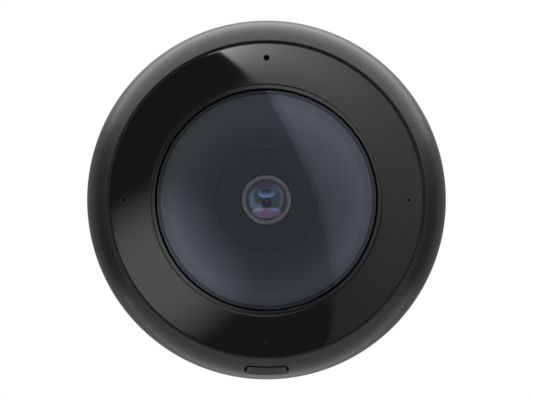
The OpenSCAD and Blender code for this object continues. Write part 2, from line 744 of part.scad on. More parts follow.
// Release tab: its dished face follows the rim and slants up at both ends, its flange catches
// below the sleeve, and its stem reaches down to the leaf's finger
module release_tab() {
    tab_len = slot_len - 2 * tab_end_gap;
    slope = rim_slope(tab_r);
    face_z = shoulder_z + front_rise * sqrt(1 - pow((tab_r - lip_r) / rim_w, 2)) - tab_sink;
    slant_h = (tab_sink - tab_end_sink) * cos(slope);
    slant_root = 0.4;
    flange_a = asin((slot_len / 2 + tab_flange_over) / tab_r);
    flange_top_z = sleeve_low_z - tab_flange_gap;
    flange_low_z = flange_top_z - tab_flange_t;
    stem_a = asin(tab_stem_w / 2 / tab_r);
    head_low_z = flange_low_z + tab_flange_t / 2;
    color([0.12, 0.12, 0.13]) on_wall() {
        tab_head(head_low_z, tab_sink, 0);
        for (side = [-1, 1]) intersection() {
            tab_head(head_low_z + tab_step, tab_end_sink, tab_step);
            translate([0, -tab_r, face_z]) rotate([90 + slope, 0, 0])
                translate([0, 0, -slot_w]) linear_extrude(2 * slot_w) polygon([
                    [side * (tab_len / 2 - tab_slant_w), -slant_root],
                    [side * (tab_len / 2 - tab_slant_w), 0],
                    [side * tab_len / 2, slant_h],
                    [side * (tab_len / 2 + overrun), slant_h + overrun],
                    [side * (tab_len / 2 + overrun), -slant_root]
                ]);
        }
        sector(tab_r - tab_flange_in, tab_r + tab_flange_out, flange_low_z, flange_top_z,
            six_a - flange_a, six_a + flange_a);
        sector(tab_stem_in_r, tab_stem_in_r + tab_stem_t,
            leaf_low_z + leaf_t + leaf_touch_gap, flange_low_z + tab_flange_t / 2,
            six_a - stem_a, six_a + stem_a);
    }
}

// Fascia: a gently crowned black window with holes for the sensor, microphones and status light
module fascia() {
    outer_land = 2.8;
    inner_land = 2.5;
    color([0.03, 0.03, 0.035]) on_wall() difference() {
        rotate_extrude() polygon(concat(
            [
                [fascia_in_r, fascia_in_low_z], [fascia_in_r + inner_land, fascia_in_low_z],
                [fascia_out_r - outer_land, fascia_low_z], [fascia_out_r, fascia_low_z],
                [fascia_out_r, fascia_edge_z - edge_cut]
            ],
            [
                for (i = [0:arc_steps])
                    let (
                        edge_r = fascia_out_r - edge_cut,
                        r = edge_r - (edge_r - fascia_in_r) * i / arc_steps
                    )
                        [r, fascia_z(r)]
            ]
        ));
        at_polar(pinhole_r, 90) post(sensor_hole_d / 2, deck_top_z, ring_top_z);
        for (a = [0, 180]) at_polar(pinhole_r, a) post(mic_hole_d / 2, deck_top_z, ring_top_z);
        at_polar(pinhole_r, six_a) status_form(fit_gap, deck_top_z, ring_top_z);
    }
}

// Rounded bar of the status light, grown by a gap, its length along the rim
module status_form(gap, low, high) {
    bar = status_w - status_h;
    translate([-status_h / 2 - gap, -bar / 2, low]) cube([status_h + 2 * gap, bar, high - low]);
    for (side = [-1, 1]) translate([0, side * bar / 2, 0]) post(status_h / 2 + gap, low, high);
}

module window_seal() {
    seal_inset = 0.2;
    color([0.05, 0.05, 0.05]) on_wall()
        ring(seat_in_r + seal_inset, fascia_out_r - seal_inset, seat_z, fascia_low_z);
}

// Trim ring: it presses the dome's flange down, and the fascia presses its own flange
module dome_ring() color([0.1, 0.1, 0.11]) on_wall() rotate_extrude() polygon([
    [ring_in_r, fascia_in_low_z], [ring_in_r, ring_top_z - edge_cut], [ring_in_r + edge_cut, ring_top_z],
    [ring_out_r - edge_cut, ring_top_z], [ring_out_r, ring_top_z - edge_cut], [ring_out_r, fascia_in_low_z],
    [ring_flange_r, fascia_in_low_z], [ring_flange_r, ring_seat_z], [step_mid_r, ring_seat_z],
    [step_mid_r, fascia_in_low_z]
]);

module dome() color([0.6, 0.65, 0.7, 0.35]) on_wall() rotate_extrude() polygon(concat(
    [
        [dome_in_r, dome_low_z], [dome_flange_r, dome_low_z], [dome_flange_r, fascia_in_low_z],
        [dome_r, fascia_in_low_z]
    ],
    raised(ball_line(dome_r, dome_rise), dome_edge_z),
    turned_back(raised(ball_line(dome_in_r, dome_rise - dome_wall), dome_edge_z))
));

module dome_seal() {
    seal_inset = 0.2;
    color([0.05, 0.05, 0.05]) on_wall()
        ring(step_in_r + seal_inset, step_mid_r - seal_inset, dome_seat_z, dome_low_z);
}

// Inner shroud: a shallow crowned liner with a skirt on the deck and a ledge for the lens's disc
module inner_shroud() {
    skirt_w = 1.8;
    ledge_back = 2;
    ledge_top_z = shroud_z(shroud_hole_r) - collar_t;
    color([0.09, 0.09, 0.1]) on_wall() rotate_extrude() polygon(concat(
        [[shroud_rim_r, deck_top_z]],
        shroud_line(shroud_rim_r, shroud_hole_r, 0),
        [
            [shroud_hole_r, ledge_top_z], [shroud_hole_r - ledge_w, ledge_top_z],
            [shroud_hole_r - ledge_w, ledge_top_z - collar_t],
            [shroud_hole_r + ledge_back, ledge_top_z - collar_t]
        ],
        shroud_line(shroud_hole_r + ledge_back, shroud_rim_r - skirt_w, shroud_t),
        [[shroud_rim_r - skirt_w, deck_top_z]]
    ));
}

module lens_collar() color([0.09, 0.09, 0.1]) on_wall() rotate_extrude() polygon(concat(
    shroud_line(collar_r, bezel_r + collar_gap, 0),
    turned_back(shroud_line(collar_r, bezel_r + collar_gap, collar_t))
));

head_top_z = shroud_z(bezel_r) + head_proud;
head_low_z = head_top_z - head_h;
neck_low_z = filter_top_z + neck_gap;
lens_low_z = head_top_z - lens_flange_t;

module lens_bezel() {
    bevel = 0.5;
    color([0.3, 0.3, 0.31]) on_wall() rotate_extrude() polygon([
        [lens_r, head_top_z], [lens_r, head_top_z + bevel], [lens_r + bevel, head_top_z + bezel_h],
        [bezel_r - bevel / 2, head_top_z + bezel_h], [bezel_r, head_top_z + bezel_h - bevel / 2],
        [bezel_r, head_top_z]
    ]);
}

// Front lens: a deep hollow-backed glass whose flange sits in the barrel's head
module front_lens() {
    lens_top_r = lens_r - fit_gap;
    crown = ball_line(lens_top_r, lens_rise);
    hollow_z = lens_low_z - lens_hollow_r / 2;
    hollow_a = asin((lens_low_z - hollow_z) / lens_hollow_r);
    color([0.1, 0.1, 0.2, 0.6]) on_wall() rotate_extrude() polygon(concat(
        ellipse_arc([0, hollow_z], [lens_hollow_r, lens_hollow_r], 90, hollow_a),
        [
            [lens_r + lens_flange_w - run_gap, lens_low_z],
            [lens_r + lens_flange_w - run_gap, head_top_z], [lens_top_r, head_top_z]
        ],
        raised(crown, head_top_z + lens_lift)
    ));
}

// Lens barrel: a threaded neck in the holder and a wide head for the front lens
module lens_barrel() {
    cone_h = 2;
    seat_w_in = 1.2;
    throat_drop = 1.5;
    color([0.08, 0.08, 0.08]) on_wall() rotate_extrude() polygon([
        [neck_r, neck_low_z], [neck_r, head_low_z - cone_h], [bezel_r, head_low_z],
        [bezel_r, head_top_z], [lens_r + lens_flange_w, head_top_z], [lens_r + lens_flange_w, lens_low_z],
        [lens_r + lens_flange_w - 2 * seat_w_in, lens_low_z],
        [lens_r + lens_flange_w - 2 * seat_w_in, lens_low_z - throat_drop],
        [glass_r + run_gap, head_low_z - throat_drop], [glass_r + run_gap, neck_low_z + bore_lip],
        [glass_r - bore_lip, neck_low_z + bore_lip], [glass_r - bore_lip, neck_low_z]
    ]);
}

// Two inner lenses, one on the other
module inner_lenses() {
    bulge = 0.9;
    edge_h = 1.6;
    low = neck_low_z + bore_lip;
    color([0.5, 0.6, 0.7, 0.5]) on_wall() for (i = [0, 1])
        translate([0, 0, low + i * (edge_h + bulge + fit_gap)]) rotate_extrude() polygon(concat(
            [[0, 0], [glass_r, 0]],
            raised(ball_line(glass_r, bulge), edge_h)
        ));
}

module lens_holder() {
    outer_r = neck_r + holder_wall;
    color([0.12, 0.12, 0.12]) on_wall() difference() {
        union() {
            post(outer_r, filter_top_z, filter_top_z + holder_h);
            block(2 * outer_r, 2 * outer_r, filter_top_z, filter_top_z + holder_base_t);
        }
        post(neck_r + run_gap, filter_top_z - overrun, filter_top_z + holder_h + overrun);
    }
}

// Filter housing: a box over the image sensor with a slot in which the carrier slides
module filter_housing() {
    sensor_room = 0.6;
    window_gap = 0.4;
    window_r = filter_open_d / 2 + window_gap;
    color([0.14, 0.14, 0.14]) on_wall() difference() {
        block(filter_size[0], filter_size[1], sensor_top_z, filter_top_z);
        block(filter_slot_size[0], filter_slot_size[1], filter_slot_z, filter_slot_z + filter_slot_h);
        post(window_r, filter_slot_z - filter_floor_t - overrun, filter_top_z + overrun);
        block(sensor_size[0] + 2 * sensor_room, sensor_size[1] + 2 * sensor_room,
            sensor_top_z - overrun, filter_slot_z - filter_floor_t);
    }
}

// Filter carrier: a thin slide with two seats. At rest the day filter is in front of the sensor
module filter_carrier() color([0.2, 0.2, 0.2]) on_wall() translate([filter_pitch / 2, 0, 0]) difference() {
    block(carrier_size[0], carrier_size[1], carrier_z, carrier_z + carrier_t);
    for (side = [-1, 1]) translate([side * filter_pitch / 2, 0, 0]) {
        post(filter_r, carrier_z + carrier_lip_t, carrier_z + carrier_t + overrun);
        post(filter_open_d / 2, carrier_z - overrun, carrier_z + carrier_t + overrun);
    }
}

module filter_glass(x) on_wall() translate([x, 0, 0])
    post(filter_r - filter_glass_gap, carrier_z + carrier_lip_t, carrier_z + carrier_lip_t + filter_glass_t);

module day_filter() color([0.3, 0.7, 0.7, 0.6]) filter_glass(0);

module night_filter() color([0.8, 0.8, 0.85, 0.5]) filter_glass(filter_pitch);

// Coil beside the filter housing, which pulls the carrier to either end
module filter_coil() {
    coil_len = 8;
    coil_x = -7;
    coil_r = 2;
    cheek_t = 0.8;
    cheek_over = 0.3;
    middle_y = filter_size[1] / 2 + coil_r + cheek_over;
    color([0.7, 0.35, 0.15]) on_wall() translate([coil_x, middle_y, sensor_top_z + coil_r + cheek_over])
        rotate([0, 90, 0]) {
            translate([0, 0, -coil_len / 2]) cylinder(r = coil_r, h = coil_len);
            for (z = [-coil_len / 2, coil_len / 2 - cheek_t]) translate([0, 0, z])
                cylinder(r = coil_r + cheek_over, h = cheek_t);
        }
}

module image_sensor() color([0.25, 0.3, 0.4]) on_wall() difference() {
    block(sensor_size[0], sensor_size[1], sensor_top_z, sensor_top_z + sensor_t);
    block(sensor_window_size[0], sensor_window_size[1],
        sensor_top_z + sensor_t - sensor_window_depth, sensor_top_z + sensor_t + overrun);
}

module sensor_board() color([0.05, 0.25, 0.15]) on_wall() difference() {
    block(sensor_board_size[0], sensor_board_size[1], sensor_board_z, sensor_top_z);
    at_corners(sensor_post_at)
        post(small_screw_r + pilot_gap, sensor_board_z - overrun, sensor_top_z + overrun);
    translate([0, socket_y, 0])
        block(socket_w + 2 * socket_room, socket_d + 2 * socket_room,
            sensor_board_z - overrun, sensor_top_z + overrun);
}

module sensor_board_screws() color([0.6, 0.6, 0.62]) on_wall() at_corners(sensor_post_at)
    screw(small_head_r, small_head_h, small_screw_r, sensor_top_z, floor_z);

// Places of the ribbon between its two connectors, seen from the side
connector_h = 1.4;
connector_w = 4;
ribbon_t = 0.3;
ribbon_w = 8;
ribbon_bend_r = 2.5;
ribbon_rise_x = 24.4;
low_connector_x = 18.6;
high_connector_x = 31;

module ribbon_connectors() color([0.85, 0.83, 0.75]) on_wall() {
    translate([low_connector_x, 0, 0])
        block(connector_w, ribbon_w, sensor_top_z, sensor_top_z + connector_h);
    translate([high_connector_x, 0, 0])
        block(connector_w, ribbon_w, main_top_z, main_top_z + connector_h);
}

// Flat ribbon that climbs from the sensor board to the top of the main board
module sensor_ribbon() {
    low_z = sensor_top_z + connector_h + ribbon_t / 2;
    high_z = main_top_z + connector_h + ribbon_t / 2;
    low_bend = [ribbon_rise_x - ribbon_bend_r, low_z + ribbon_bend_r];
    high_bend = [ribbon_rise_x + ribbon_bend_r, high_z - ribbon_bend_r];
    under = ribbon_bend_r + ribbon_t / 2;
    over = ribbon_bend_r - ribbon_t / 2;
    color([0.75, 0.5, 0.15]) on_wall() rotate([90, 0, 0]) translate([0, 0, -ribbon_w / 2])
        linear_extrude(ribbon_w) polygon(concat(
            [[low_connector_x - connector_w / 2, low_z - ribbon_t / 2]],
            ellipse_arc(low_bend, [under, under], -90, 0),
            ellipse_arc(high_bend, [over, over], 180, 90),
            [
                [high_connector_x + connector_w / 2, high_z - ribbon_t / 2],
                [high_connector_x + connector_w / 2, high_z + ribbon_t / 2]
            ],
            ellipse_arc(high_bend, [under, under], 90, 180),
            ellipse_arc(low_bend, [over, over], 0, -90),
            [[low_connector_x - connector_w / 2, low_z + ribbon_t / 2]]
        ));
}

// Rectangle with rounded corners, as a solid
module soft_block(size, corner_r, low, high) {
    block(size[0], size[1] - 2 * corner_r, low, high);
    block(size[0] - 2 * corner_r, size[1], low, high);
    at_corners([size[0] / 2 - corner_r, size[1] / 2 - corner_r]) post(corner_r, low, high);
}

module main_board() color([0.05, 0.3, 0.18]) on_wall() difference() {
    post(main_board_r, main_low_z, main_top_z);
    soft_block(main_hole_size, main_hole_corner_r, main_low_z - overrun, main_top_z + overrun);
    at_corners(main_post_at) post(small_screw_r + pilot_gap, main_low_z - overrun, main_top_z + overrun);
}

module main_board_screws() color([0.6, 0.6, 0.62]) on_wall() at_corners(main_post_at)
    screw(small_head_r, small_head_h, small_screw_r, main_top_z, main_low_z - main_screw_bite);

module processor() color([0.08, 0.08, 0.08]) on_wall() translate([0, chip_y, 0])
    block(chip_size, chip_size, main_low_z - chip_t, main_low_z);

module thermal_pad() color([0.6, 0.65, 0.75]) on_wall() translate([0, chip_y, 0])
    block(chip_size, chip_size, main_low_z - chip_t - pad_t, main_low_z - chip_t);

module memory_chips() color([0.08, 0.08, 0.08]) on_wall() for (side = [-1, 1])
    translate([side * memory_x, chip_y, 0])
        block(memory_size[0], memory_size[1], main_low_z - memory_t, main_low_z);

module network_transformer() color([0.1, 0.1, 0.1]) on_wall()
    translate([0, socket_y - socket_d / 2 - transformer_gap - transformer_size[1] / 2, 0])
        block(transformer_size[0], transformer_size[1], main_low_z - transformer_h, main_low_z);

module capacitors() color([0.3, 0.3, 0.35]) on_wall() for (at = capacitor_at)
    translate([at[0], at[1], 0]) post(capacitor_r, main_low_z - capacitor_h, main_low_z);

// Network socket: a box under the main board whose mouth faces the wall
module network_socket() color([0.75, 0.75, 0.77]) on_wall() translate([0, socket_y, 0]) difference() {
    block(socket_w, socket_d, socket_low_z, main_low_z);
    block(plug_w, plug_d, socket_low_z - overrun, socket_low_z + plug_depth);
    translate([0, -plug_d / 2, 0])
        block(plug_step_w, 2 * plug_step_d, socket_low_z - overrun, socket_low_z + plug_depth);
}

module socket_contacts() color([0.85, 0.7, 0.3]) on_wall() for (i = [0:contact_count - 1])
    translate([(i - (contact_count - 1) / 2) * contact_pitch, socket_y + plug_d / 2 - contact_t / 2, 0])
        block(contact_w, contact_t, socket_low_z + plug_depth - contact_len, socket_low_z + plug_depth);

module cable_seal() color([0.06, 0.06, 0.06]) on_wall() translate([0, socket_y, 0])
    ring(cable_collar_r - cable_seal_w, cable_collar_r - fit_gap,
        back_z - cable_collar_h - cable_seal_proud, back_z);

// Board of the infrared lamps, microphones and sensors, on the deck below the fascia
module infrared_board() color([0.05, 0.2, 0.12]) on_wall() difference() {
    ring(infrared_in_r, infrared_out_r, deck_top_z, infrared_top_z);
    spread(4, 45) translate([lamp_r, 0, 0])
        post(small_screw_r + pilot_gap, deck_top_z - overrun, infrared_top_z + overrun);
}

module infrared_board_screws() {
    bite_gap = 0.1;
    color([0.6, 0.6, 0.62]) on_wall() spread(4, 45) translate([lamp_r, 0, 0])
        screw(small_head_r, small_head_h, small_screw_r, infrared_top_z, deck_top_z + bite_gap);
}

module infrared_lamps() {
    lamp_w = 3.4;
    lamp_base_h = 0.8;
    lens_w = 2.6;
    lens_bulge = 0.6;
    color([0.7, 0.65, 0.5]) on_wall() spread(lamp_count, 180 / lamp_count) translate([lamp_r, 0, 0]) {
        block(lamp_w, lamp_w, infrared_top_z, infrared_top_z + lamp_base_h);
        rotate_extrude() polygon(concat(
            [[0, infrared_top_z], [lens_w / 2, infrared_top_z]],
            raised(ball_line(lens_w / 2, lens_bulge), infrared_top_z + lamp_base_h)
        ));
    }
}

module light_sensor() {
    body_w = 2.2;
    body_h = 0.9;
    eye_r = 0.8;
    color([0.2, 0.22, 0.25]) on_wall() at_polar(pinhole_r, 90) {
        block(body_w, body_w, infrared_top_z, infrared_top_z + body_h);
        post(eye_r, infrared_top_z, fascia_low_z);
    }
}

mic_size = [2.65, 3.5];
mic_h = 1;

module microphones() color([0.75, 0.72, 0.6]) on_wall() for (a = [0, 180])
    at_polar(pinhole_r, a) block(mic_size[0], mic_size[1], infrared_top_z, infrared_top_z + mic_h);

// Rubber boots that seal each microphone to its hole
module microphone_boots() {
    boot_r = 2.8;
    boot_gap = 0.05;
    color([0.07, 0.07, 0.07]) on_wall() for (a = [0, 180]) at_polar(pinhole_r, a) difference() {
        post(boot_r, infrared_top_z, fascia_low_z);
        block(mic_size[0] + 2 * boot_gap, mic_size[1] + 2 * boot_gap,
            infrared_top_z - overrun, infrared_top_z + mic_h + boot_gap);
        post(mic_hole_d / 2, infrared_top_z, fascia_low_z + overrun);
    }
}

lamp_chip_h = 0.6;

module status_lamp() {
    chip_w = 0.9;
    chip_len = 1.7;
    color([0.9, 0.9, 0.85]) on_wall() at_polar(pinhole_r, six_a)
        block(chip_w, chip_len, infrared_top_z, infrared_top_z + lamp_chip_h);
}

// Light pipe: a clear bar whose end is flush with the fascia
module light_pipe() {
    foot_r = 1.9;
    foot_t = 0.5;
    foot_gap = 0.1;
    color([0.7, 0.7, 0.7, 0.7]) on_wall() at_polar(pinhole_r, six_a) {
        post(foot_r, infrared_top_z + lamp_chip_h + foot_gap,
            infrared_top_z + lamp_chip_h + foot_gap + foot_t);
        status_form(0, infrared_top_z + lamp_chip_h + foot_gap, fascia_z(pinhole_r));
    }
}

// Breather vent: a cap on the back, a stem through the floor and a nut inside
module breather_vent() color([0.1, 0.1, 0.1]) on_wall() translate([vent_at[0], vent_at[1], 0]) difference() {
    union() {
        post(vent_r, back_z - vent_cap_h, back_z);
        post(vent_stem_r, back_z - vent_cap_h / 2, floor_z + vent_nut_h);
        translate([0, 0, floor_z]) cylinder(r = vent_nut_r, h = vent_nut_h, $fn = 6);
    }
    spread(4, 0) translate([vent_r - 2 * vent_r / 4, 0, 0])
        post(vent_r / 8, back_z - vent_cap_h - overrun, back_z - vent_cap_h / 2);
}

reset_low_z = back_z + reset_sink;
reset_flange_z = floor_z + reset_guide_h;
stem_top_z = main_low_z - switch_h + stem_in;
stem_low_z = main_low_z - switch_h - stem_out;

// Reset plunger: a pin in its guide, pressed from the back with a wire
module reset_plunger() color([0.8, 0.8, 0.78]) on_wall() translate([reset_at[0], reset_at[1], 0]) {
    post(reset_r, reset_low_z, stem_low_z);
    post(reset_flange_r, reset_flange_z, reset_flange_z + reset_flange_t);
}

module switch_stem() color([0.1, 0.1, 0.1]) on_wall() translate([reset_at[0], reset_at[1], 0])
    post(stem_r, stem_low_z, stem_top_z);

module reset_switch() {
    stem_room = 0.2;
    color([0.7, 0.7, 0.7]) on_wall() translate([reset_at[0], reset_at[1], 0]) difference() {
        block(switch_size, switch_size, main_low_z - switch_h, main_low_z);
        post(stem_r + run_gap, main_low_z - switch_h - overrun, stem_top_z + reset_travel + stem_room);
    }
}

wall_plate();
rear_housing();
keeper_ring();
keeper_screws();
latch_leaf();
latch_screw();
front_casing();
casing_screws();
casing_seal();
release_tab();
fascia();
window_seal();
dome_ring();
dome();
dome_seal();
inner_shroud();
lens_collar();
lens_bezel();
front_lens();
lens_barrel();
inner_lenses();
lens_holder();
filter_housing();
filter_carrier();
day_filter();
night_filter();
filter_coil();
image_sensor();
sensor_board();
sensor_board_screws();
sensor_ribbon();
ribbon_connectors();
main_board();
main_board_screws();
processor();
thermal_pad();
memory_chips();
network_transformer();
capacitors();
network_socket();
socket_contacts();
cable_seal();
infrared_board();
infrared_board_screws();
infrared_lamps();
light_sensor();
microphones();
microphone_boots();
status_lamp();
light_pipe();
breather_vent();
reset_plunger();
reset_switch();
switch_stem();
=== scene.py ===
# %% [markdown]
# # A fisheye security camera, dressed round its construction model
# The construction model holds the size and the place of every piece. This script gives the pieces their
# looks: smooth shells where light runs over a long curve, glass for the dome, a lens whose reflections
# are painted into its colour, and a finish with grain for every part. All lengths are metres. The wall is
# the plane y = 0, the camera faces -Y, z is up and x is to the right as seen from the front.

# %% Load the construction model
import json
import math

import bpy
from mathutils import Matrix, Vector


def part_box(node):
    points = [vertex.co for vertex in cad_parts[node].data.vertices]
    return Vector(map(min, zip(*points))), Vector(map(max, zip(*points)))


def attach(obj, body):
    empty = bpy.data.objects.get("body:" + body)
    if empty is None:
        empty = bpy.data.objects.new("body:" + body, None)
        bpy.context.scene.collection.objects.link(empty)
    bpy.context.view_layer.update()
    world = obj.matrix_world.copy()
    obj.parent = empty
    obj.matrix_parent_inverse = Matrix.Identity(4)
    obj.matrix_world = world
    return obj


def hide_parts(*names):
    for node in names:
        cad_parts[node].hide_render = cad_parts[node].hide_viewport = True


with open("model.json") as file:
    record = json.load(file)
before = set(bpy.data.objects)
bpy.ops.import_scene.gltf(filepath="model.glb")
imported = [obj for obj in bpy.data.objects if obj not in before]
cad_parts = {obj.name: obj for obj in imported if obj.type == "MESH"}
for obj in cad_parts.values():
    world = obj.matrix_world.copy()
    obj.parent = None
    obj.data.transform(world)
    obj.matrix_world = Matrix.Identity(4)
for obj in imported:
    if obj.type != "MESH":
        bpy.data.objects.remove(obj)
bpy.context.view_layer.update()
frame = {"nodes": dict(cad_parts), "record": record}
mm = 0.001

# %% [markdown]
# ## A shape that is turned
# Nearly every piece that shows is round: the casing, the window, the dome, the lens. A maker
# would draw half of its section and turn it. So one helper grows an outline by extruding a
# single point step by step, and spins it about the camera's axis. A cylinder with bevels could
# give a simple ring, but not a rim with a lip, a groove and steps.

# %% Helpers for selecting, smoothing and changing a piece
SMOOTH_ANGLE = math.radians(32)
MERGE = 0.0005 * mm


def mode(name):
    """Goes to edit mode or to object mode."""
    bpy.ops.object.mode_set(mode=name)


def nothing_selected():
    """Back to object mode, with no object selected."""
    if bpy.context.object and bpy.context.object.mode != "OBJECT":
        mode("OBJECT")
    bpy.ops.object.select_all(action="DESELECT")


def only(piece):
    """Selects one piece and makes it the active one."""
    nothing_selected()
    piece.select_set(True)
    bpy.context.view_layer.objects.active = piece


def smooth(piece):
    """Smooth faces, with sharp edges kept where the surface turns hard."""
    only(piece)
    bpy.ops.object.shade_smooth_by_angle(angle=SMOOTH_ANGLE)
    return piece


def modified(piece, kind, **settings):
    """The piece with a modifier added, set and applied."""
    only(piece)
    change = piece.modifiers.new(kind.lower(), kind)
    for key, setting in settings.items():
        setattr(change, key, setting)
    bpy.ops.object.modifier_apply(modifier=change.name)
    return piece


def named(name):
    """The piece that was just added, with its name, and with its place fixed in its mesh."""
    piece = bpy.context.object
    piece.name = piece.data.name = name
    bpy.ops.object.transform_apply(location=True, rotation=True, scale=True)
    return piece


def merge_all(distance):
    """Selects the whole mesh in edit mode and merges its doubles."""
    bpy.ops.mesh.select_all(action="SELECT")
    bpy.ops.mesh.remove_doubles(threshold=distance)


# %% Growing an outline and turning it


def grown_line(name, places):
    """A chain of edges through the places, grown from a plane that is merged to one point."""
    nothing_selected()
    bpy.ops.mesh.primitive_plane_add(size=mm, location=places[0])
    piece = named(name)
    mode("EDIT")
    bpy.ops.mesh.select_mode(type="VERT")
    bpy.ops.mesh.merge(type="CENTER")
    for here, there in zip(places, places[1:]):
        bpy.ops.mesh.extrude_region_move(TRANSFORM_OT_translate={"value": there - here})
    merge_all(MERGE)
    return piece


def section_point(point):
    """A point of a section, (distance from the axis, distance from the wall) in mm, in space."""
    return Vector((point[0], -point[1], 0)) * mm


def turned(name, outline, steps=240, sweep=360, closed=True):
    """Spins an outline of points in mm about the camera's axis."""
    ring = list(outline) + (list(outline[:1]) if closed else [])
    piece = grown_line(name, [section_point(p) for p in ring])
    bpy.ops.mesh.spin(steps=steps, angle=math.radians(sweep), center=(0, 0, 0), axis=(0, 1, 0))
    merge_all(MERGE)
    if sweep < 360:
        bpy.ops.mesh.select_all(action="DESELECT")
        bpy.ops.mesh.select_non_manifold()
        bpy.ops.mesh.edge_face_add()
        bpy.ops.mesh.select_all(action="SELECT")
    bpy.ops.mesh.normals_make_consistent(inside=False)
    mode("OBJECT")
    return smooth(piece)


# %% Outlines from arcs, caps and rounded corners


def arc(centre, radii, start, end, steps=24):
    """Points of an ellipse about a centre, between two angles in degrees."""
    turns = [math.radians(start + (end - start) * i / steps) for i in range(steps + 1)]
    return [(centre[0] + radii[0] * math.cos(t), centre[1] + radii[1] * math.sin(t)) for t in turns]


def ball_cap(radius, rise, level, steps=24):
    """Points of a ball's cap from its apex on the axis to its edge at a radius and a level."""
    ball = (radius ** 2 + rise ** 2) / (2 * rise)
    edge_turn = 90 - math.degrees(math.asin(radius / ball))
    return arc((0, level + rise - ball), (ball, ball), 90, edge_turn, steps)


def rounded(corners, steps=4):
    """Points of an outline given as corners (radius, level, rounding) or plain points."""
    points = []
    for i, corner in enumerate(corners):
        if len(corner) == 2:
            points.append(corner)
            continue
        here = Vector(corner[:2])
        before = (Vector(corners[i - 1][:2]) - here).normalized()
        after = (Vector(corners[(i + 1) % len(corners)][:2]) - here).normalized()
        half = before.angle(after) / 2
        centre = here + (before + after).normalized() * corner[2] / math.sin(half)
        start = here + before * corner[2] / math.tan(half) - centre
        end = here + after * corner[2] / math.tan(half) - centre
        for k in range(steps + 1):
            spoke = start.lerp(end, k / steps).normalized() * corner[2]
            points.append(tuple(centre + spoke))
    return points


# %% [markdown]
# ## Levels and radii
# A level is a distance from the wall, so that it reads the same here as on a section drawing.
# The widest sizes are measured on the construction model. The steps between the pieces are the
# small lengths that a toolmaker would note beside the section.

# %% Shared sizes in millimetres


def reach(node):
    """The largest radius of a round node that lies on the camera's axis."""
    return round(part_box(node)[1].x / mm, 2)


def front_of(node):
    """The level of a node's front."""
    return round(-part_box(node)[0].y / mm, 2)


def back_of(node):
    """The level of a node's back."""
    return round(-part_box(node)[1].y / mm, 2)


CASING_R = reach("front_casing")
FRONT = front_of("front_casing")
BACK = back_of("front_casing")
SHOULDER = 15
RIM_W = 8.6
TUCK_W = 6.6
WALL = 2.5
LIP_R = CASING_R - RIM_W
BACK_R = CASING_R - TUCK_W
RIM_RISE = FRONT - SHOULDER
RIM_MID = LIP_R - 1
RIM_WIDE = CASING_R - RIM_MID
RIM_HIGH = RIM_RISE / math.sqrt(1 - ((LIP_R - RIM_MID) / RIM_WIDE) ** 2)
FASCIA_R = reach("fascia")
RING_LEDGE_W = 2.3
FASCIA_HOLE_R = reach("dome_ring") - RING_LEDGE_W
DOME_FLANGE_W = 1.2
DOME_WALL = 2
DOME_R = reach("dome") - DOME_FLANGE_W
DOME_IN_R = DOME_R - DOME_WALL
FASCIA_LOW = back_of("fascia")
SEAT = back_of("window_seal")
DECK = back_of("infrared_board")
DECK_T = 1.5
RING_BACK = back_of("dome_ring")
DOME_BACK = back_of("dome")
TAB_INSET = 4
TAB_R = CASING_R - TAB_INSET
print("casing radius", CASING_R, "mm, from", BACK, "to", FRONT, "mm; fascia from",
      round(FASCIA_HOLE_R, 1), "to", FASCIA_R, "mm")

# %% [markdown]
# ## The moulded casing
# One moulded shell carries everything: a rounded rim that tucks in towards the wall, a lip
# round the window, and inside it the steps and the deck that hold the window and the dome.
# The outline runs once round the whole section, so the turned shell has its real wall
# thickness everywhere, and the light that runs along the rim has no facet to catch on.

# %% Casing: the turned shell
LIP_ROUNDING = 0.2
SEAT_W = 2.2
STEP_R = [FASCIA_R - SEAT_W, reach("dome_ring") + 0.5, reach("dome") + 0.1, DOME_IN_R + 1]
DOME_SEAT = DOME_BACK - 0.8
DECK_IN_R = 40
RELIEF = SEAT - 1.5

tuck = arc((BACK_R, SHOULDER), (TUCK_W, SHOULDER - BACK), -90, 0)
crest = math.degrees(math.acos((LIP_R + 2 * LIP_ROUNDING - RIM_MID) / RIM_WIDE))
rim = arc((RIM_MID, SHOULDER), (RIM_WIDE, RIM_HIGH), 0, crest, 40)
relief_turn = math.degrees(math.asin((RELIEF - SHOULDER) / (RIM_RISE - WALL)))
rim_inside = arc((LIP_R, SHOULDER), (RIM_W - WALL, RIM_RISE - WALL), relief_turn, 0)
tuck_inside = arc((BACK_R, SHOULDER), (TUCK_W - WALL, SHOULDER - BACK - WALL), 0, -90)
seats = [
    (LIP_R, FRONT, LIP_ROUNDING), (LIP_R, SEAT), (STEP_R[0], SEAT), (STEP_R[0], DECK),
    (STEP_R[1], DECK), (STEP_R[1], RING_BACK), (STEP_R[2], RING_BACK), (STEP_R[2], DOME_SEAT),
    (STEP_R[3], DOME_SEAT), (STEP_R[3], DECK), (DECK_IN_R, DECK), (DECK_IN_R, DECK - DECK_T),
    (LIP_R, DECK - DECK_T), (LIP_R, RELIEF),
]
casing_outline = rounded(tuck + rim[1:] + seats + rim_inside + tuck_inside[1:])
casing = turned("casing_shell", casing_outline, steps=288)
print("casing shell:", len(casing.data.polygons), "faces")

# %% [markdown]
# Inside, four bosses take the casing screws, eight ribs stiffen the rim, and a sleeve guides
# the release tab. They are moulded in one with the shell, so they are joined to it with a
# boolean union. The slot and the screw holes are then cut through all of it, as pins in the
# mould leave them.

# %% Casing: helpers for posts, bars and cuts


def placed(piece, turn=0, shift=(0, 0, 0)):
    """Turns a piece clockwise about the camera's axis, shifts it, and fixes both in its mesh."""
    only(piece)
    piece.matrix_world = Matrix.Translation(Vector(shift)) @ Matrix.Rotation(math.radians(turn), 4, "Y")
    bpy.ops.object.transform_apply(location=True, rotation=True, scale=True)
    return piece


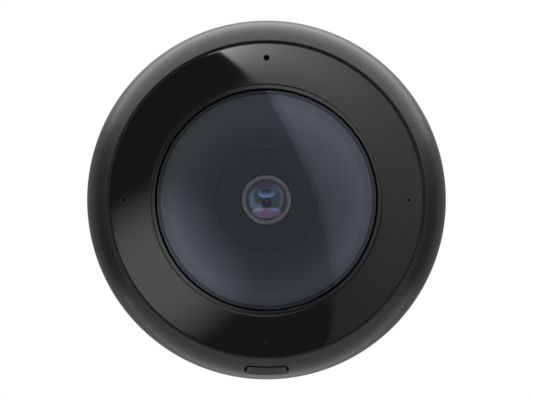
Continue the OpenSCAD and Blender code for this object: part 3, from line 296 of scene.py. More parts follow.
def at_clock(radius, clock):
    """The place in the front view at a radius in mm and an angle in degrees from 12 o'clock."""
    turn = math.radians(clock)
    return Vector((radius * math.sin(turn), 0, radius * math.cos(turn))) * mm


def post(name, radius, low, high, place=(0, 0, 0), sides=48):
    """A round post between two levels."""
    nothing_selected()
    middle = Vector(place) + Vector((0, -(low + high) / 2, 0)) * mm
    bpy.ops.mesh.primitive_cylinder_add(vertices=sides, radius=radius * mm, depth=(high - low) * mm,
                                        location=middle, rotation=(math.radians(90), 0, 0))
    return named(name)


def bar(name, outline, half_turn, steps=24):
    """A bar with the given section that follows a circle, centred on 6 o'clock."""
    return placed(turned(name, outline, steps, 2 * half_turn), 90 + half_turn)


def shaped(piece, tool, operation):
    """Joins a tool's shape to the piece, or cuts it out, and removes the tool."""
    modified(piece, "BOOLEAN", operation=operation, solver="EXACT", object=tool)
    bpy.data.objects.remove(tool)
    return piece


def joined(pieces):
    """Pieces that don't touch, as one."""
    only(pieces[0])
    for piece in pieces[1:]:
        piece.select_set(True)
    bpy.ops.object.join()
    return pieces[0]


def rim_level(r, inset=0):
    """The level of the rim's surface at a radius in mm, or of a surface below it."""
    return SHOULDER + (RIM_HIGH - inset) * math.sqrt(1 - ((r - RIM_MID) / (RIM_WIDE - inset)) ** 2)


# %% Casing: bosses, ribs and the sleeve
SLOT_L = 18.3
SLOT_W = 3.4
SLEEVE_W = 1.2
SLEEVE_LOW = SHOULDER + 2
BOSS_R = 2.7
BOSS_LOW = 10.6
SCREW_R = 63.2
SCREW_HOLE_R = 1.55
RIB_IN_R = 60.7
RIB_LOW = DECK - DECK_T - 6
RIB_HALF_TURN = 0.6
INSET = 0.8
SURFACE_INSET = 0.3

in_deck = DECK - DECK_T / 2
screw_places = [at_clock(SCREW_R, 45 + 90 * i) for i in range(4)]
bosses = [post("boss", BOSS_R, BOSS_LOW, in_deck, place) for place in screw_places]
rib_radii = (RIM_W - WALL + INSET, RIM_RISE - WALL + INSET)
rib_turns = [math.degrees(math.asin((level - SHOULDER) / rib_radii[1])) for level in (RIB_LOW, in_deck)]
rib_outline = arc((LIP_R, SHOULDER), rib_radii, *rib_turns, 6)
rib_outline += [(RIB_IN_R, in_deck), (RIB_IN_R, RIB_LOW)]
ribs = [placed(bar("rib", rib_outline, RIB_HALF_TURN, 2), 22.5 + 45 * i) for i in range(8)]
shaped(casing, joined(bosses + ribs), "UNION")
sleeve_r = [TAB_R - SLOT_W / 2 - SLEEVE_W, TAB_R + SLOT_W / 2 + SLEEVE_W]
sleeve_line = [(r, rim_level(r, SURFACE_INSET)) for r in (sleeve_r[1], 71, 70, 69, 68, sleeve_r[0])]
sleeve_half = math.degrees((SLOT_L / 2 + SLEEVE_W) / TAB_R)
sleeve = bar("sleeve", [(sleeve_r[0], SLEEVE_LOW), (sleeve_r[1], SLEEVE_LOW)] + sleeve_line, sleeve_half)
shaped(casing, sleeve, "UNION")
print("casing with bosses, ribs and sleeve:", len(casing.data.polygons), "faces")

# %% Casing: the slot and the screw holes
CUT_PAST = 1
END_PAST = 0.1
SCREW_HOLE_DEPTH = 10


def block(middle_r, width, low, high):
    """The corners of an upright block in a section, given by its middle radius and its width."""
    inner, outer = middle_r - width / 2, middle_r + width / 2
    return [(inner, low), (outer, low), (outer, high), (inner, high)]


slot_half = math.degrees((SLOT_L - SLOT_W) / 2 / TAB_R)
slot = bar("slot", block(TAB_R, SLOT_W, SHOULDER, FRONT + CUT_PAST), slot_half)
for side in (-1, 1):
    end = post("slot_end", SLOT_W / 2, SHOULDER - END_PAST, FRONT + CUT_PAST + END_PAST,
               at_clock(TAB_R, 180 + side * slot_half))
    shaped(slot, end, "UNION")
shaped(casing, slot, "DIFFERENCE")
holes = [post("screw_hole", SCREW_HOLE_R, BOSS_LOW - CUT_PAST, BOSS_LOW + SCREW_HOLE_DEPTH, place, 32)
         for place in screw_places]
shaped(casing, joined(holes), "DIFFERENCE")
print("casing with its slot:", len(casing.data.polygons), "faces")

# %% [markdown]
# A moulded slot has no knife edge: its mouth is a little rounded, and that edge catches a thin
# line of light. A bevel would trip over the short edges that the boolean leaves there. So a
# thin round rod is laid along the mouth and cut away, which leaves a fine hollow edge.

# %% Casing: the softened mouth of the slot
MOUTH_ROUNDING = 0.12


def mouth_places():
    """Places along the slot's mouth on the surface of the rim, back to the first one."""
    flat = []
    for side in (1, -1):
        clock = 180 + side * slot_half
        out, along = at_clock(1, clock), at_clock(1, clock + 90)
        for k in range(13):
            turn = math.radians((1 - side) * 90 + 15 * k)
            spoke = out * math.cos(turn) + along * math.sin(turn)
            flat.append(at_clock(TAB_R, clock) + spoke * SLOT_W / 2)
        for k in range(1, 12):
            flat.append(at_clock(TAB_R - side * SLOT_W / 2, clock - side * slot_half * k / 6))
    return [Vector((p.x, -rim_level(p.length / mm) * mm, p.z)) for p in flat + flat[:1]]


def rod(name, places, radius):
    """A round rod along a line of places."""
    piece = grown_line(name, places)
    mode("OBJECT")
    bpy.ops.object.convert(target="CURVE")
    piece.data.bevel_depth = radius * mm
    piece.data.bevel_resolution = 2
    bpy.ops.object.convert(target="MESH")
    return piece


shaped(casing, rod("mouth_rod", mouth_places(), MOUTH_ROUNDING), "DIFFERENCE")
smooth(casing)
print("casing with the softened mouth:", len(casing.data.polygons), "faces")

# %% [markdown]
# ## The release tab
# A long finger tab lies sunk in the slot. Its face is a scoop: it is nearly level with the rim
# along its outer edge, lies deep along its inner edge, and slants up at both ends. A bar is
# turned with that section, and the last two columns of its face are then pulled up. Below it
# are the flange that stops it and the stem that presses the spring leaf.

# %% Release tab: its section, turned into a bar
TAB_SINK = (0.2, 2.2)
TAB_END_SINK = 0.4
TAB_SLANT = 0.6
TAB_EDGE = 0.5
TAB_W = SLOT_W - 0.4
TAB_L = SLOT_L - 2.2
TAB_FOOT_OUT = 0.9
TAB_COLUMNS = 23
FACE_STEP = 0.4
FLANGE = [SLEEVE_LOW - 1.7, SLEEVE_LOW - 0.3]

tab_half = math.degrees(math.asin(TAB_L / 2 / TAB_R))
tab_low = sum(FLANGE) / 2
tab_sides = [TAB_R + TAB_W / 2, TAB_R - TAB_W / 2]


def tab_depth(r):
    """How far the tab's face lies below the rim at a radius in mm, and its share of the way in."""
    way = (tab_sides[0] - r) / TAB_W
    return TAB_SINK[0] + (TAB_SINK[1] - TAB_SINK[0]) * way, way


tab_radii = [tab_sides[0] - FACE_STEP * i for i in range(7)]
face_line = [(r, rim_level(r) - tab_depth(r)[0]) for r in tab_radii]
face_line.append((tab_sides[1], rim_level(tab_sides[1]) - TAB_SINK[1], TAB_EDGE))
tab_foot = [(tab_sides[1], tab_low), (TAB_R + TAB_FOOT_OUT, tab_low),
            (TAB_R + TAB_FOOT_OUT, SLEEVE_LOW + 0.6), (tab_sides[0], SLEEVE_LOW + 1.1)]
tab_outline = rounded(face_line + tab_foot)
tab = bar("tab_shell", tab_outline, tab_half, TAB_COLUMNS)
print("tab", TAB_L, "mm long, sunk by", TAB_SINK, "mm")

# %% Release tab: the raised ends of its face
TAB_CORNERS = 0.08
TAB_CORNER_ANGLE = math.radians(50)


def choose(piece, kind, test):
    """Selects the vertices or edges of a piece for which the test holds."""
    only(piece)
    mode("EDIT")
    bpy.ops.mesh.select_mode(type=kind)
    bpy.ops.mesh.select_all(action="DESELECT")
    mode("OBJECT")
    for part in {"VERT": piece.data.vertices, "EDGE": piece.data.edges}[kind]:
        part.select = test(part)
    mode("EDIT")


def clock_of(place):
    """The angle of a place from 12 o'clock in the front view, in degrees."""
    return math.degrees(math.atan2(place.x, place.z)) % 360


def lift_end(r, side, columns_in):
    """Pulls one place of the tab's face up and inwards, near its right (1) or left (-1) end."""
    clock = 180 - side * tab_half * (1 - 2 * columns_in / TAB_COLUMNS)
    choose(tab, "VERT", lambda v: abs(clock_of(v.co) - clock) < 0.05 and v.co.y < -(tab_low + 4) * mm
           and abs(math.hypot(v.co.x, v.co.z) / mm - r) < 0.01)
    depth, way = tab_depth(r)
    share = 1 - columns_in / 2
    lift = max(depth - TAB_END_SINK, 0) * share
    bpy.ops.transform.translate(value=(-side * TAB_SLANT * way * share * mm, -lift * mm, 0))


for r in sorted({point[0] for point in tab_outline[:-len(tab_foot)]}):
    for side in (1, -1):
        for columns_in in (0, 1):
            lift_end(r, side, columns_in)
bpy.ops.mesh.select_mode(type="EDGE")
bpy.ops.mesh.select_all(action="DESELECT")
bpy.ops.mesh.edges_select_sharp(sharpness=TAB_CORNER_ANGLE)
bpy.ops.mesh.bevel(offset=TAB_CORNERS * mm, segments=2, affect="EDGES")
mode("OBJECT")
print("tab's ends rise to", TAB_END_SINK, "mm below the rim")

# %% Release tab: its flange and stem
FLANGE_W = 5.8
STEM_W = 1.6
STEM_IN = 3.6
FOOT_HALF = {"flange": SLOT_L / 2 + 1, "stem": 4}

feet = {"flange": block(TAB_R + 1 - FLANGE_W / 2, FLANGE_W, *FLANGE),
        "stem": block(TAB_R - STEM_IN, STEM_W, front_of("latch_leaf") + 0.1, tab_low)}
for name, section in feet.items():
    shaped(tab, bar(name, section, math.degrees(math.asin(FOOT_HALF[name] / TAB_R))), "UNION")
smooth(tab)
print("tab:", len(tab.data.polygons), "faces")

# %% [markdown]
# ## The black window
# The ring window is one gloss black moulding in front of the infrared lamps. It is gently
# crowned: its inner edge is nearly level with the dome's ring and its outer edge lies lower,
# inside the casing's lip. That crown bends the reflections of the studio, so it is turned from a
# curve with many points. Small holes let light and sound in.

# %% Window: the crowned ring
CROWN = 1.6
EDGE_LEVEL = FASCIA_LOW + 1.6
INNER_LEDGE_W = 2.5
OUTER_LEDGE_W = 2.8


def window_level(r):
    """The level of the window's front at a radius in mm."""
    return EDGE_LEVEL + CROWN * (1 - ((r - FASCIA_HOLE_R) / (FASCIA_R - FASCIA_HOLE_R)) ** 2)


crown_line = []
for i in range(1, 41):
    crown_r = FASCIA_R + (FASCIA_HOLE_R - FASCIA_R) * i / 40
    crown_line.append((crown_r, window_level(crown_r)))
window_outline = [(FASCIA_HOLE_R, EDGE_LEVEL), (FASCIA_HOLE_R + INNER_LEDGE_W, EDGE_LEVEL),
                  (FASCIA_R - OUTER_LEDGE_W, FASCIA_LOW), (FASCIA_R, FASCIA_LOW),
                  (FASCIA_R, EDGE_LEVEL, 0.3)]
window_outline += crown_line[:-1] + [(FASCIA_HOLE_R, EDGE_LEVEL + CROWN, 0.12)]
window = turned("window_ring", rounded(window_outline), steps=288)
print("window from", round(FASCIA_HOLE_R, 1), "to", FASCIA_R, "mm, crowned by", CROWN, "mm")

# %% Window: the holes for the light sensor, the microphones and the status light
PINHOLE_R = 57.5
PINHOLES = {0: (1.2, 48), 90: (0.5, 24), 270: (0.5, 24)}  # clock: radius and sides
STATUS_SIZE = (2.4, 1.2)
STATUS_GAP = 0.2


def capsule(name, size, low, high, place):
    """A bar with round ends, between two levels."""
    nothing_selected()
    middle = Vector(place) + Vector((0, -(low + high) / 2, 0)) * mm
    bpy.ops.mesh.primitive_cube_add(size=mm, location=middle, scale=(size[0], high - low, size[1]))
    piece = named(name)
    depths = [v.co.y for v in piece.data.vertices]
    ends = [e.index for e in piece.data.edges
            if abs(depths[e.vertices[0]] - depths[e.vertices[1]]) > 0.1 * mm]
    choose(piece, "EDGE", lambda e: e.index in ends)
    bpy.ops.mesh.bevel(offset=size[1] / 2 * mm * 0.98, segments=8, affect="EDGES")
    mode("OBJECT")
    return piece


through = (FASCIA_LOW - CUT_PAST, EDGE_LEVEL + CROWN + CUT_PAST)
for clock, (hole_r, sides) in PINHOLES.items():
    shaped(window, post("hole", hole_r, *through, at_clock(PINHOLE_R, clock), sides), "DIFFERENCE")
status_hole = [side + STATUS_GAP for side in STATUS_SIZE]
shaped(window, capsule("hole", status_hole, *through, at_clock(PINHOLE_R, 180)), "DIFFERENCE")
smooth(window)
print("window with its holes:", len(window.data.polygons), "faces")

# %% [markdown]
# Behind the upper hole sits the light sensor, a small body with a domed eye. In the lower one
# the light pipe ends flush with the window. It is dark while the lamp is off.

# %% Light sensor and light pipe
BOARD_FRONT = front_of("infrared_board")
SENSOR_SIZE = (2.2, 2.2)
SENSOR_T = 0.9
EYE_R = 0.8
EYE_RISE = 0.35
PIPE_FOOT_R = 1.9
PIPE_FOOT_T = 0.5
PIPE_SINK = 0.02

at_top, at_bottom = at_clock(PINHOLE_R, 0), at_clock(PINHOLE_R, 180)
sensor = capsule("sensor_body", SENSOR_SIZE, BOARD_FRONT, BOARD_FRONT + SENSOR_T, at_top)
eye = ball_cap(EYE_R, EYE_RISE, FASCIA_LOW - EYE_RISE, 8)
eye += [(EYE_R, BOARD_FRONT + 0.3), (0, BOARD_FRONT + 0.3)]
shaped(sensor, placed(turned("eye", eye, 32, closed=False), shift=at_top), "UNION")
smooth(sensor)
pipe_back = back_of("light_pipe")
pipe_front = window_level(PINHOLE_R) - PIPE_SINK
pipe = capsule("pipe_bar", STATUS_SIZE, pipe_back + 0.2, pipe_front, at_bottom)
shaped(pipe, post("pipe_foot", PIPE_FOOT_R, pipe_back, pipe_back + PIPE_FOOT_T, at_bottom), "UNION")
smooth(pipe)
print("sensor eye at", EYE_R, "mm radius, pipe", STATUS_SIZE, "mm")

# %% [markdown]
# ## The dome and its ring
# A slim ring clamps the dome's flange and stands a hair above the window. The dome is a
# shallow cap of a large ball with walls of one thickness. It keeps both its surfaces, so the
# glass bends and mirrors light twice, as the real one does.

# %% Dome ring
RING_FRONT = front_of("dome_ring")
RING_IN_R = DOME_R + 0.6
RING_OUT_R = FASCIA_HOLE_R - 0.1
RING_TILT = 0.05
RING_ROUNDING = 0.2
ring_outline = [
    (RING_IN_R, EDGE_LEVEL), (RING_IN_R, RING_FRONT, RING_ROUNDING),
    (RING_OUT_R, RING_FRONT - RING_TILT, RING_ROUNDING),
    (RING_OUT_R, EDGE_LEVEL), (reach("dome_ring"), EDGE_LEVEL), (reach("dome_ring"), RING_BACK),
    (STEP_R[2], RING_BACK), (STEP_R[2], EDGE_LEVEL),
]
ring = turned("trim_ring", rounded(ring_outline))
print("ring from", RING_IN_R, "to", RING_OUT_R, "mm")

# %% Dome
DOME_EDGE = RING_FRONT - 0.5
DOME_RISE = front_of("dome") - DOME_EDGE
dome_outline = ball_cap(DOME_R, DOME_RISE, DOME_EDGE, 48)
dome_outline += [(DOME_R, EDGE_LEVEL), (reach("dome"), EDGE_LEVEL), (reach("dome"), DOME_BACK),
                 (DOME_IN_R, DOME_BACK)]
dome_outline += ball_cap(DOME_IN_R, DOME_RISE - DOME_WALL, DOME_EDGE, 48)[::-1]
dome = turned("dome_glass", dome_outline, closed=False)
print("dome of radius", DOME_R, "mm rises", round(DOME_RISE, 1), "mm")

# %% [markdown]
# ## The liner and the lens
# The liner is a shallow black bowl turned inside out, with a flush disc in its middle. The
# lens stands in that disc in a slim grey bezel. A fine groove runs round the bezel's face.

# %% Liner and lens disc
LINER_R = DOME_IN_R - 0.2
LINER_EDGE = 27.3
LINER_RISE = 5.1
DISC_R = reach("lens_collar")
LINER_HOLE_R = DISC_R + 0.3
LINER_T = 1.6
LINER_FOOT_W = 1.8
LEDGE_W = 2.1
LEDGE_T = 1.2
BEZEL_R = reach("lens_bezel")


def liner_level(r):
    """The level of the liner's front at a radius in mm."""
    return LINER_EDGE + LINER_RISE * (LINER_R ** 2 - r ** 2) / (LINER_R ** 2 - DISC_R ** 2)


def liner_line(r_from, r_to, drop=0, steps=24):
    """Points along the liner's surface, or along a surface below it."""
    radii = [r_from + (r_to - r_from) * i / steps for i in range(steps + 1)]
    return [(r, liner_level(r) - drop) for r in radii]


ledge = liner_level(LINER_HOLE_R) - LEDGE_T
liner_outline = [(LINER_R, DECK)] + liner_line(LINER_R, LINER_HOLE_R + 0.2)
liner_outline += [(LINER_HOLE_R, liner_level(LINER_HOLE_R), 0.15), (LINER_HOLE_R, ledge),
                  (LINER_HOLE_R - LEDGE_W, ledge), (LINER_HOLE_R - LEDGE_W, ledge - LEDGE_T),
                  (LINER_HOLE_R + 2, ledge - LEDGE_T)]
liner_outline += liner_line(LINER_HOLE_R + 2, LINER_R - LINER_FOOT_W, LINER_T)
liner_outline.append((LINER_R - LINER_FOOT_W, DECK))
liner = turned("liner_bowl", rounded(liner_outline))
BEZEL_GAP = 0.4
DISC_HOLE_R = BEZEL_R + BEZEL_GAP
disc_outline = liner_line(DISC_R - 0.2, DISC_HOLE_R)
disc_outline += liner_line(DISC_HOLE_R, DISC_R, LEDGE_T) + [(DISC_R, liner_level(DISC_R), 0.15)]
disc = turned("lens_disc", rounded(disc_outline))
print("liner to", LINER_R, "mm, disc", DISC_HOLE_R, "to", DISC_R, "mm")

# %% Bezel
HEAD = back_of("lens_bezel")
BEZEL_FRONT = front_of("lens_bezel")
GLASS_R = 7.9
GROOVE = (8.75, 8.8, 8.92, 8.97)
GROOVE_LOW = BEZEL_FRONT - 0.14
bezel_outline = [
    (GLASS_R, HEAD), (GLASS_R, HEAD + 0.5), (GLASS_R + 0.45, BEZEL_FRONT - 0.1, 0.2),
    (GROOVE[0], BEZEL_FRONT, 0.06), (GROOVE[1], GROOVE_LOW), (GROOVE[2], GROOVE_LOW),
    (GROOVE[3], BEZEL_FRONT, 0.06), (BEZEL_R - 0.3, BEZEL_FRONT, 0.1),
    (BEZEL_R - 0.25, BEZEL_FRONT - 0.6), (BEZEL_R, HEAD + 0.2), (BEZEL_R, HEAD),
]
bezel = turned("bezel_ring", rounded(bezel_outline), steps=160)
print("bezel from", GLASS_R, "to", BEZEL_R, "mm")

# %% [markdown]
# The front lens is a thick glass cap with a deep hollow behind it, held by a flange. Two
# smaller lenses follow in the barrel.

# %% Front lens and inner lenses
LENS_FRONT = front_of("front_lens")
LENS_BACK = back_of("front_lens")
CAP_R = GLASS_R - 0.1
CAP_RISE = 3.4
HOLLOW_R = 6.2
lens_outline = ball_cap(CAP_R, CAP_RISE, LENS_FRONT - CAP_RISE, 32)
lens_outline += [(CAP_R, HEAD), (reach("front_lens"), HEAD), (reach("front_lens"), LENS_BACK)]
lens_outline += arc((0, LENS_BACK - HOLLOW_R / 2), (HOLLOW_R, HOLLOW_R), 30, 90, 16)
lens = turned("lens_cap", lens_outline, steps=160, closed=False)

INNER_R = reach("inner_lenses")
INNER_LOW = back_of("inner_lenses")
INNER_STEP = 2.6
INNER_EDGE = 1.6
INNER_RISE = 0.9
inner_lenses = []
for level in (INNER_LOW, INNER_LOW + INNER_STEP):
    glass = ball_cap(INNER_R, INNER_RISE, level + INNER_EDGE, 12) + [(INNER_R, level), (0, level)]
    inner_lenses.append(turned("inner_glass", glass, steps=96, closed=False))
joined(inner_lenses)
print("front lens cap rises", CAP_RISE, "mm; inner lenses of radius", INNER_R, "mm")

# %% [markdown]
# ## The small pieces at the back
# The seal, the vent, the screws, the socket and the reset plunger have the right shapes already,
# but no moulded or turned edge is that sharp. A copy of each mesh is merged, its flat faces are
# made whole again, and a small bevel rounds every corner. The cast housing, the wall plate and
# the keeper ring stay as they are built, because their wide flat faces shade cleanly that way.

# %% Softened copies of the small rear pieces
FLAT_ANGLE = math.radians(0.5)
CORNER_ANGLE = math.radians(40)


def softened(node, width):
    """A copy of a node's mesh with its corners rounded by a width in mm."""
    nothing_selected()
    piece = bpy.data.objects.new(node + "_soft", frame["nodes"][node].data.copy())
    bpy.context.scene.collection.objects.link(piece)
    only(piece)
    mode("EDIT")
    merge_all(4 * MERGE)
    bpy.ops.mesh.dissolve_limited(angle_limit=FLAT_ANGLE)
    mode("OBJECT")
    return modified(piece, "BEVEL", width=width * mm, segments=2, angle_limit=CORNER_ANGLE)


SOFT_CORNERS = {
    "cable_seal": 0.2, "breather_vent": 0.15, "casing_screws": 0.12, "keeper_screws": 0.1,
    "latch_screw": 0.1, "network_socket": 0.08, "reset_plunger": 0.1,
}
soft_pieces = {node: softened(node, width) for node, width in SOFT_CORNERS.items()}
for node, piece in soft_pieces.items():
    print(node, "softened:", len(piece.data.polygons), "faces")

# %% [markdown]
# ## Finishes
# Every piece gets a finish whose colour and gloss change over its surface, most with a fine
# relief. The colours come from the construction model's record, so that both models agree. The
# patterns are sums of node values. A small class lets them be written as sums: each sign in a
# sum makes a Math node.

# %% Node helpers
RECORD_COLOURS = {m["slot"]: m["base_color"] for m in frame["record"]["materials"]}


class Value:
    """What a socket puts out, to be used in sums as a number is."""

    def __init__(self, tree, socket):
        self.tree = tree
        self.socket = socket


def add(tree, kind, inputs=(), **settings):
    """A new shader node with its settings made and its inputs linked or set."""
    made = tree.nodes.new("ShaderNode" + kind)
    for key, setting in settings.items():
        setattr(made, key, setting)
    for key, given in dict(inputs).items():
        source = given.socket if isinstance(given, Value) else given
        if isinstance(source, bpy.types.NodeSocket):
            tree.links.new(source, made.inputs[key])
        else:
            made.inputs[key].default_value = source
    return made


def value(tree, output, kind, inputs=(), **settings):
    """The value that an output of a new node puts out."""
    return Value(tree, add(tree, kind, inputs, **settings).outputs[output])


def calc(operation, *values):
    """The result of a Math node on values and plain numbers."""
    tree = next(v.tree for v in values if isinstance(v, Value))
    return value(tree, 0, "Math", enumerate(values), operation=operation)


for sign, sum_kind in {"add": "ADD", "sub": "SUBTRACT", "mul": "MULTIPLY", "truediv": "DIVIDE",
                       "pow": "POWER"}.items():
    setattr(Value, f"__{sign}__", lambda left, right, kind=sum_kind: calc(kind, left, right))
    setattr(Value, f"__r{sign}__", lambda right, left, kind=sum_kind: calc(kind, left, right))


def ramp(given, low, high, to_low=0.0, to_high=1.0):
    """A value carried smoothly from one range to another and held at its ends."""
    ends = {"Value": given, "From Min": low, "From Max": high, "To Min": to_low, "To Max": to_high}
    return value(given.tree, "Result", "MapRange", ends, interpolation_type="SMOOTHSTEP")


def place_on(tree, kind="Object"):
    """The place on the piece, or for the world's tree the direction, as a vector."""
    return add(tree, "TexCoord").outputs[kind]


def axes(tree, kind="Object"):
    """The three parts of that place or direction, as values."""
    parts = add(tree, "SeparateXYZ", {0: place_on(tree, kind)}).outputs
    return [Value(tree, part) for part in parts]


def noise(tree, place, scale, detail):
    """Noise from 0 to 1 over a place, so many spots to the metre."""
    return value(tree, "Fac", "TexNoise", {"Vector": place, "Scale": scale, "Detail": detail})


print(len(RECORD_COLOURS), "finishes in the record")

# %% [markdown]
# A node group holds each effect once: the fine grain of a moulding or casting, the scratches of
# bright metal, and the copper tracks below a circuit board's green lacquer. A pattern is a
# function that fills the group and names what it puts out.

# %% Groups for grain, scratches and copper tracks
BROAD_SPOTS = 90.0
GRAIN_SHARE = 0.6
SCRATCHES = 900.0
SCRATCH_STRETCH = (1.0, 0.15, 6.0)
TRACKS = {"Scale": 260.0, "Mortar Size": 0.06, "Mortar Smooth": 0.3, "Brick Width": 1.7,
          "Row Height": 0.28}
TRACK_PATCHES = 70.0


def group_of(name, numbers, pattern):
    """A node group with a colour and numbers as inputs, filled by a pattern."""
    tree = bpy.data.node_groups.new(name, "ShaderNodeTree")

    def opened(labels, side):
        for label in labels:
            kind = "NodeSocketColor" if label == "Colour" else "NodeSocketFloat"
            tree.interface.new_socket(label, in_out=side, socket_type=kind)

    opened(("Colour", *numbers), "INPUT")
    start = tree.nodes.new("NodeGroupInput")
    results = pattern(tree, {label: Value(tree, start.outputs[label]) for label in ("Colour", *numbers)})
    opened(results, "OUTPUT")
    end = tree.nodes.new("NodeGroupOutput")
    for label, result in results.items():
        tree.links.new(result.socket, end.inputs[label])
    return tree


def surface(tree, given, shade, roughness, height):
    """What a pattern of a surface puts out: the given colour times a shade, roughness and height."""
    toned = value(tree, "Color", "HueSaturation", {"Color": given["Colour"], "Value": shade})
    return {"Colour": toned, "Roughness": roughness, "Height": height}


def grain_pattern(tree, given):
    """Fine grain, and broad spots that vary the shade and the gloss."""
    grain = noise(tree, place_on(tree), given["Grain"], 2.0)
    broad = noise(tree, place_on(tree), BROAD_SPOTS, 4.0) - 0.5
    shade = (grain - 0.5) * (given["Mottle"] * GRAIN_SHARE) + (broad * given["Mottle"] + 1.0)
    return surface(tree, given, shade, broad * given["Spread"] + given["Roughness"], grain)


def scratch_pattern(tree, given):
    """Fine scratches, long from front to back and close together upwards."""
    drawn = add(tree, "Mapping", {"Vector": place_on(tree), "Scale": SCRATCH_STRETCH}).outputs["Vector"]
    lines = noise(tree, drawn, SCRATCHES, 4.0)
    shade = ramp(lines, 0.2, 0.8, 0.86, 1.1)
    return surface(tree, given, shade, (lines - 0.5) * given["Spread"] + given["Roughness"], lines)


def track_pattern(tree, given):
    """Copper tracks that come in patches and stand up a little."""
    flat = add(tree, "Mapping", {"Vector": place_on(tree), "Rotation": (math.radians(90), 0, 0)})
    lines = value(tree, "Fac", "TexBrick", {"Vector": flat.outputs["Vector"], **TRACKS})
    copper = lines * ramp(noise(tree, place_on(tree), TRACK_PATCHES, 1.0), 0.45, 0.55)
    return surface(tree, given, copper * 0.9 + 0.9, copper * -0.08 + given["Roughness"], copper)


moulded = group_of("moulded grain", ("Mottle", "Grain", "Roughness", "Spread"), grain_pattern)
scratched = group_of("fine scratches", ("Roughness", "Spread"), scratch_pattern)
tracked = group_of("board tracks", ("Roughness",), track_pattern)
print("groups:", moulded.name, "/", scratched.name, "/", tracked.name)

# %% [markdown]
# A finish puts one of these groups in front of a Principled shader. Numbers that are the same
# all over, such as how metallic a screw is, are set on the shader itself.

# %% One maker for all finishes


def new_material(name):
    """A material with its node tree and the input of its surface."""
    material = bpy.data.materials.new(name)
    material.use_nodes = True
    tree = material.node_tree
    return material, tree, tree.nodes["Material Output"].inputs["Surface"]


def finish(slot, group, values, relief=0.0, **fixed):
    """A material for a slot: the group's outputs feed the shader, and fixed values go on it."""
    material, tree, _ = new_material(slot.replace("_", " "))
    shader = tree.nodes["Principled BSDF"]
    values = {"Colour": (*RECORD_COLOURS[slot][:3], 1), **values}
    source = add(tree, "Group", values, node_tree=group).outputs
    tree.links.new(source["Colour"], shader.inputs["Base Color"])
    if "Roughness" in source:
        tree.links.new(source["Roughness"], shader.inputs["Roughness"])
    if relief:
        bump = add(tree, "Bump", {"Height": source["Height"], "Distance": relief * mm})
        tree.links.new(bump.outputs["Normal"], shader.inputs["Normal"])
    for label, number in fixed.items():
        shader.inputs[label.replace("_", " ")].default_value = number
    return material


def moulding(slot, roughness, mottle, grain, relief, spread, **fixed):
    """A finish with the grain of a moulding: so many grains to the metre, with a relief in mm."""
    values = {"Mottle": mottle, "Grain": grain, "Roughness": roughness, "Spread": spread}
    return finish(slot, moulded, values, relief, **fixed)


def bright(slot, roughness, relief=0.004):
    """A finish of bright scratched metal."""
    return finish(slot, scratched, {"Roughness": roughness, "Spread": 0.2}, relief, Metallic=1.0)


# %% The solid finishes
MOULDED = {  # roughness, mottle, grain, relief, spread of the roughness
    "charcoal_casing": (0.3, 0.15, 2600.0, 0.02, 0.06),
    "plate_plastic": (0.6, 0.15, 2600.0, 0.04, 0.12),
    "cast_metal": (0.55, 0.3, 1500.0, 0.08, 0.12),
    "black_window": (0.04, 0.1, 300.0, 0, 0.02),
    "trim_black": (0.1, 0.15, 2600.0, 0, 0.04),
    "liner_black": (0.62, 0.15, 2600.0, 0.02, 0.12),
    "bezel_grey": (0.34, 0.15, 2600.0, 0.006, 0.12),
    "lens_black": (0.5, 0.15, 2600.0, 0.01, 0.12),
    "chip_black": (0.55, 0.15, 4000.0, 0.015, 0.12),
    "sensor_die": (0.08, 0.3, 900.0, 0, 0.04),
    "connector_ivory": (0.45, 0.15, 2600.0, 0.02, 0.12),
    "ribbon_amber": (0.25, 0.2, 1200.0, 0.005, 0.12),
    "pad_blue": (0.8, 0.2, 1800.0, 0.04, 0.12),
    "seal_rubber": (0.75, 0.2, 1700.0, 0.03, 0.12),
    "pipe_clear": (0.2, 0.1, 900.0, 0.01, 0.1),
    "button_white": (0.4, 0.15, 2600.0, 0.02, 0.12),
}
EXTRAS = {
    "charcoal_casing": {"Specular IOR Level": 0.4}, "cast_metal": {"Metallic": 0.3},
    "bezel_grey": {"Metallic": 0.4}, "lens_black": {"Metallic": 0.3}, "sensor_die": {"Coat Weight": 1.0},
    "ribbon_amber": {"Coat Weight": 0.5}, "pipe_clear": {"Transmission Weight": 0.8},
}
BRIGHT = {"capacitor_can": 0.3, "socket_shell": 0.28, "contact_gold": 0.2, "screw_steel": 0.3,
          "spring_steel": 0.25}
finishes = {slot: moulding(slot, *row, **EXTRAS.get(slot, {})) for slot, row in MOULDED.items()}
finishes.update({slot: bright(slot, roughness) for slot, roughness in BRIGHT.items()})
finishes["coil_copper"] = bright("coil_copper", 0.25, 0.02)
finishes["board_green"] = finish("board_green", tracked, {"Roughness": 0.32}, 0.03, Coat_Weight=0.4)
print(len(finishes), "solid finishes")

# %% [markdown]
# Glass lets light through both its faces. Cycles would leave the inside of the dome dark,
# because it finds no lamp through a bending surface. So rays that only carry shade or soft
# light pass straight through, and all other rays are bent and mirrored by the glass.

# %% Clear finishes
CLEAR_TINT = (0.9, 0.92, 0.94, 1)


def ray_is(tree, *kinds):
    """1 for rays of a given kind, or of one of two kinds, and 0 for all others."""
    rays = add(tree, "LightPath").outputs
    found = [Value(tree, rays["Is " + kind + " Ray"]) for kind in kinds]
    return calc("MAXIMUM", *found) if len(found) == 2 else found[0]


def mixed(tree, share, first, second):
    """Two shaders mixed, with the share of the second."""
    return add(tree, "MixShader", {0: share, 1: first, 2: second}).outputs[0]


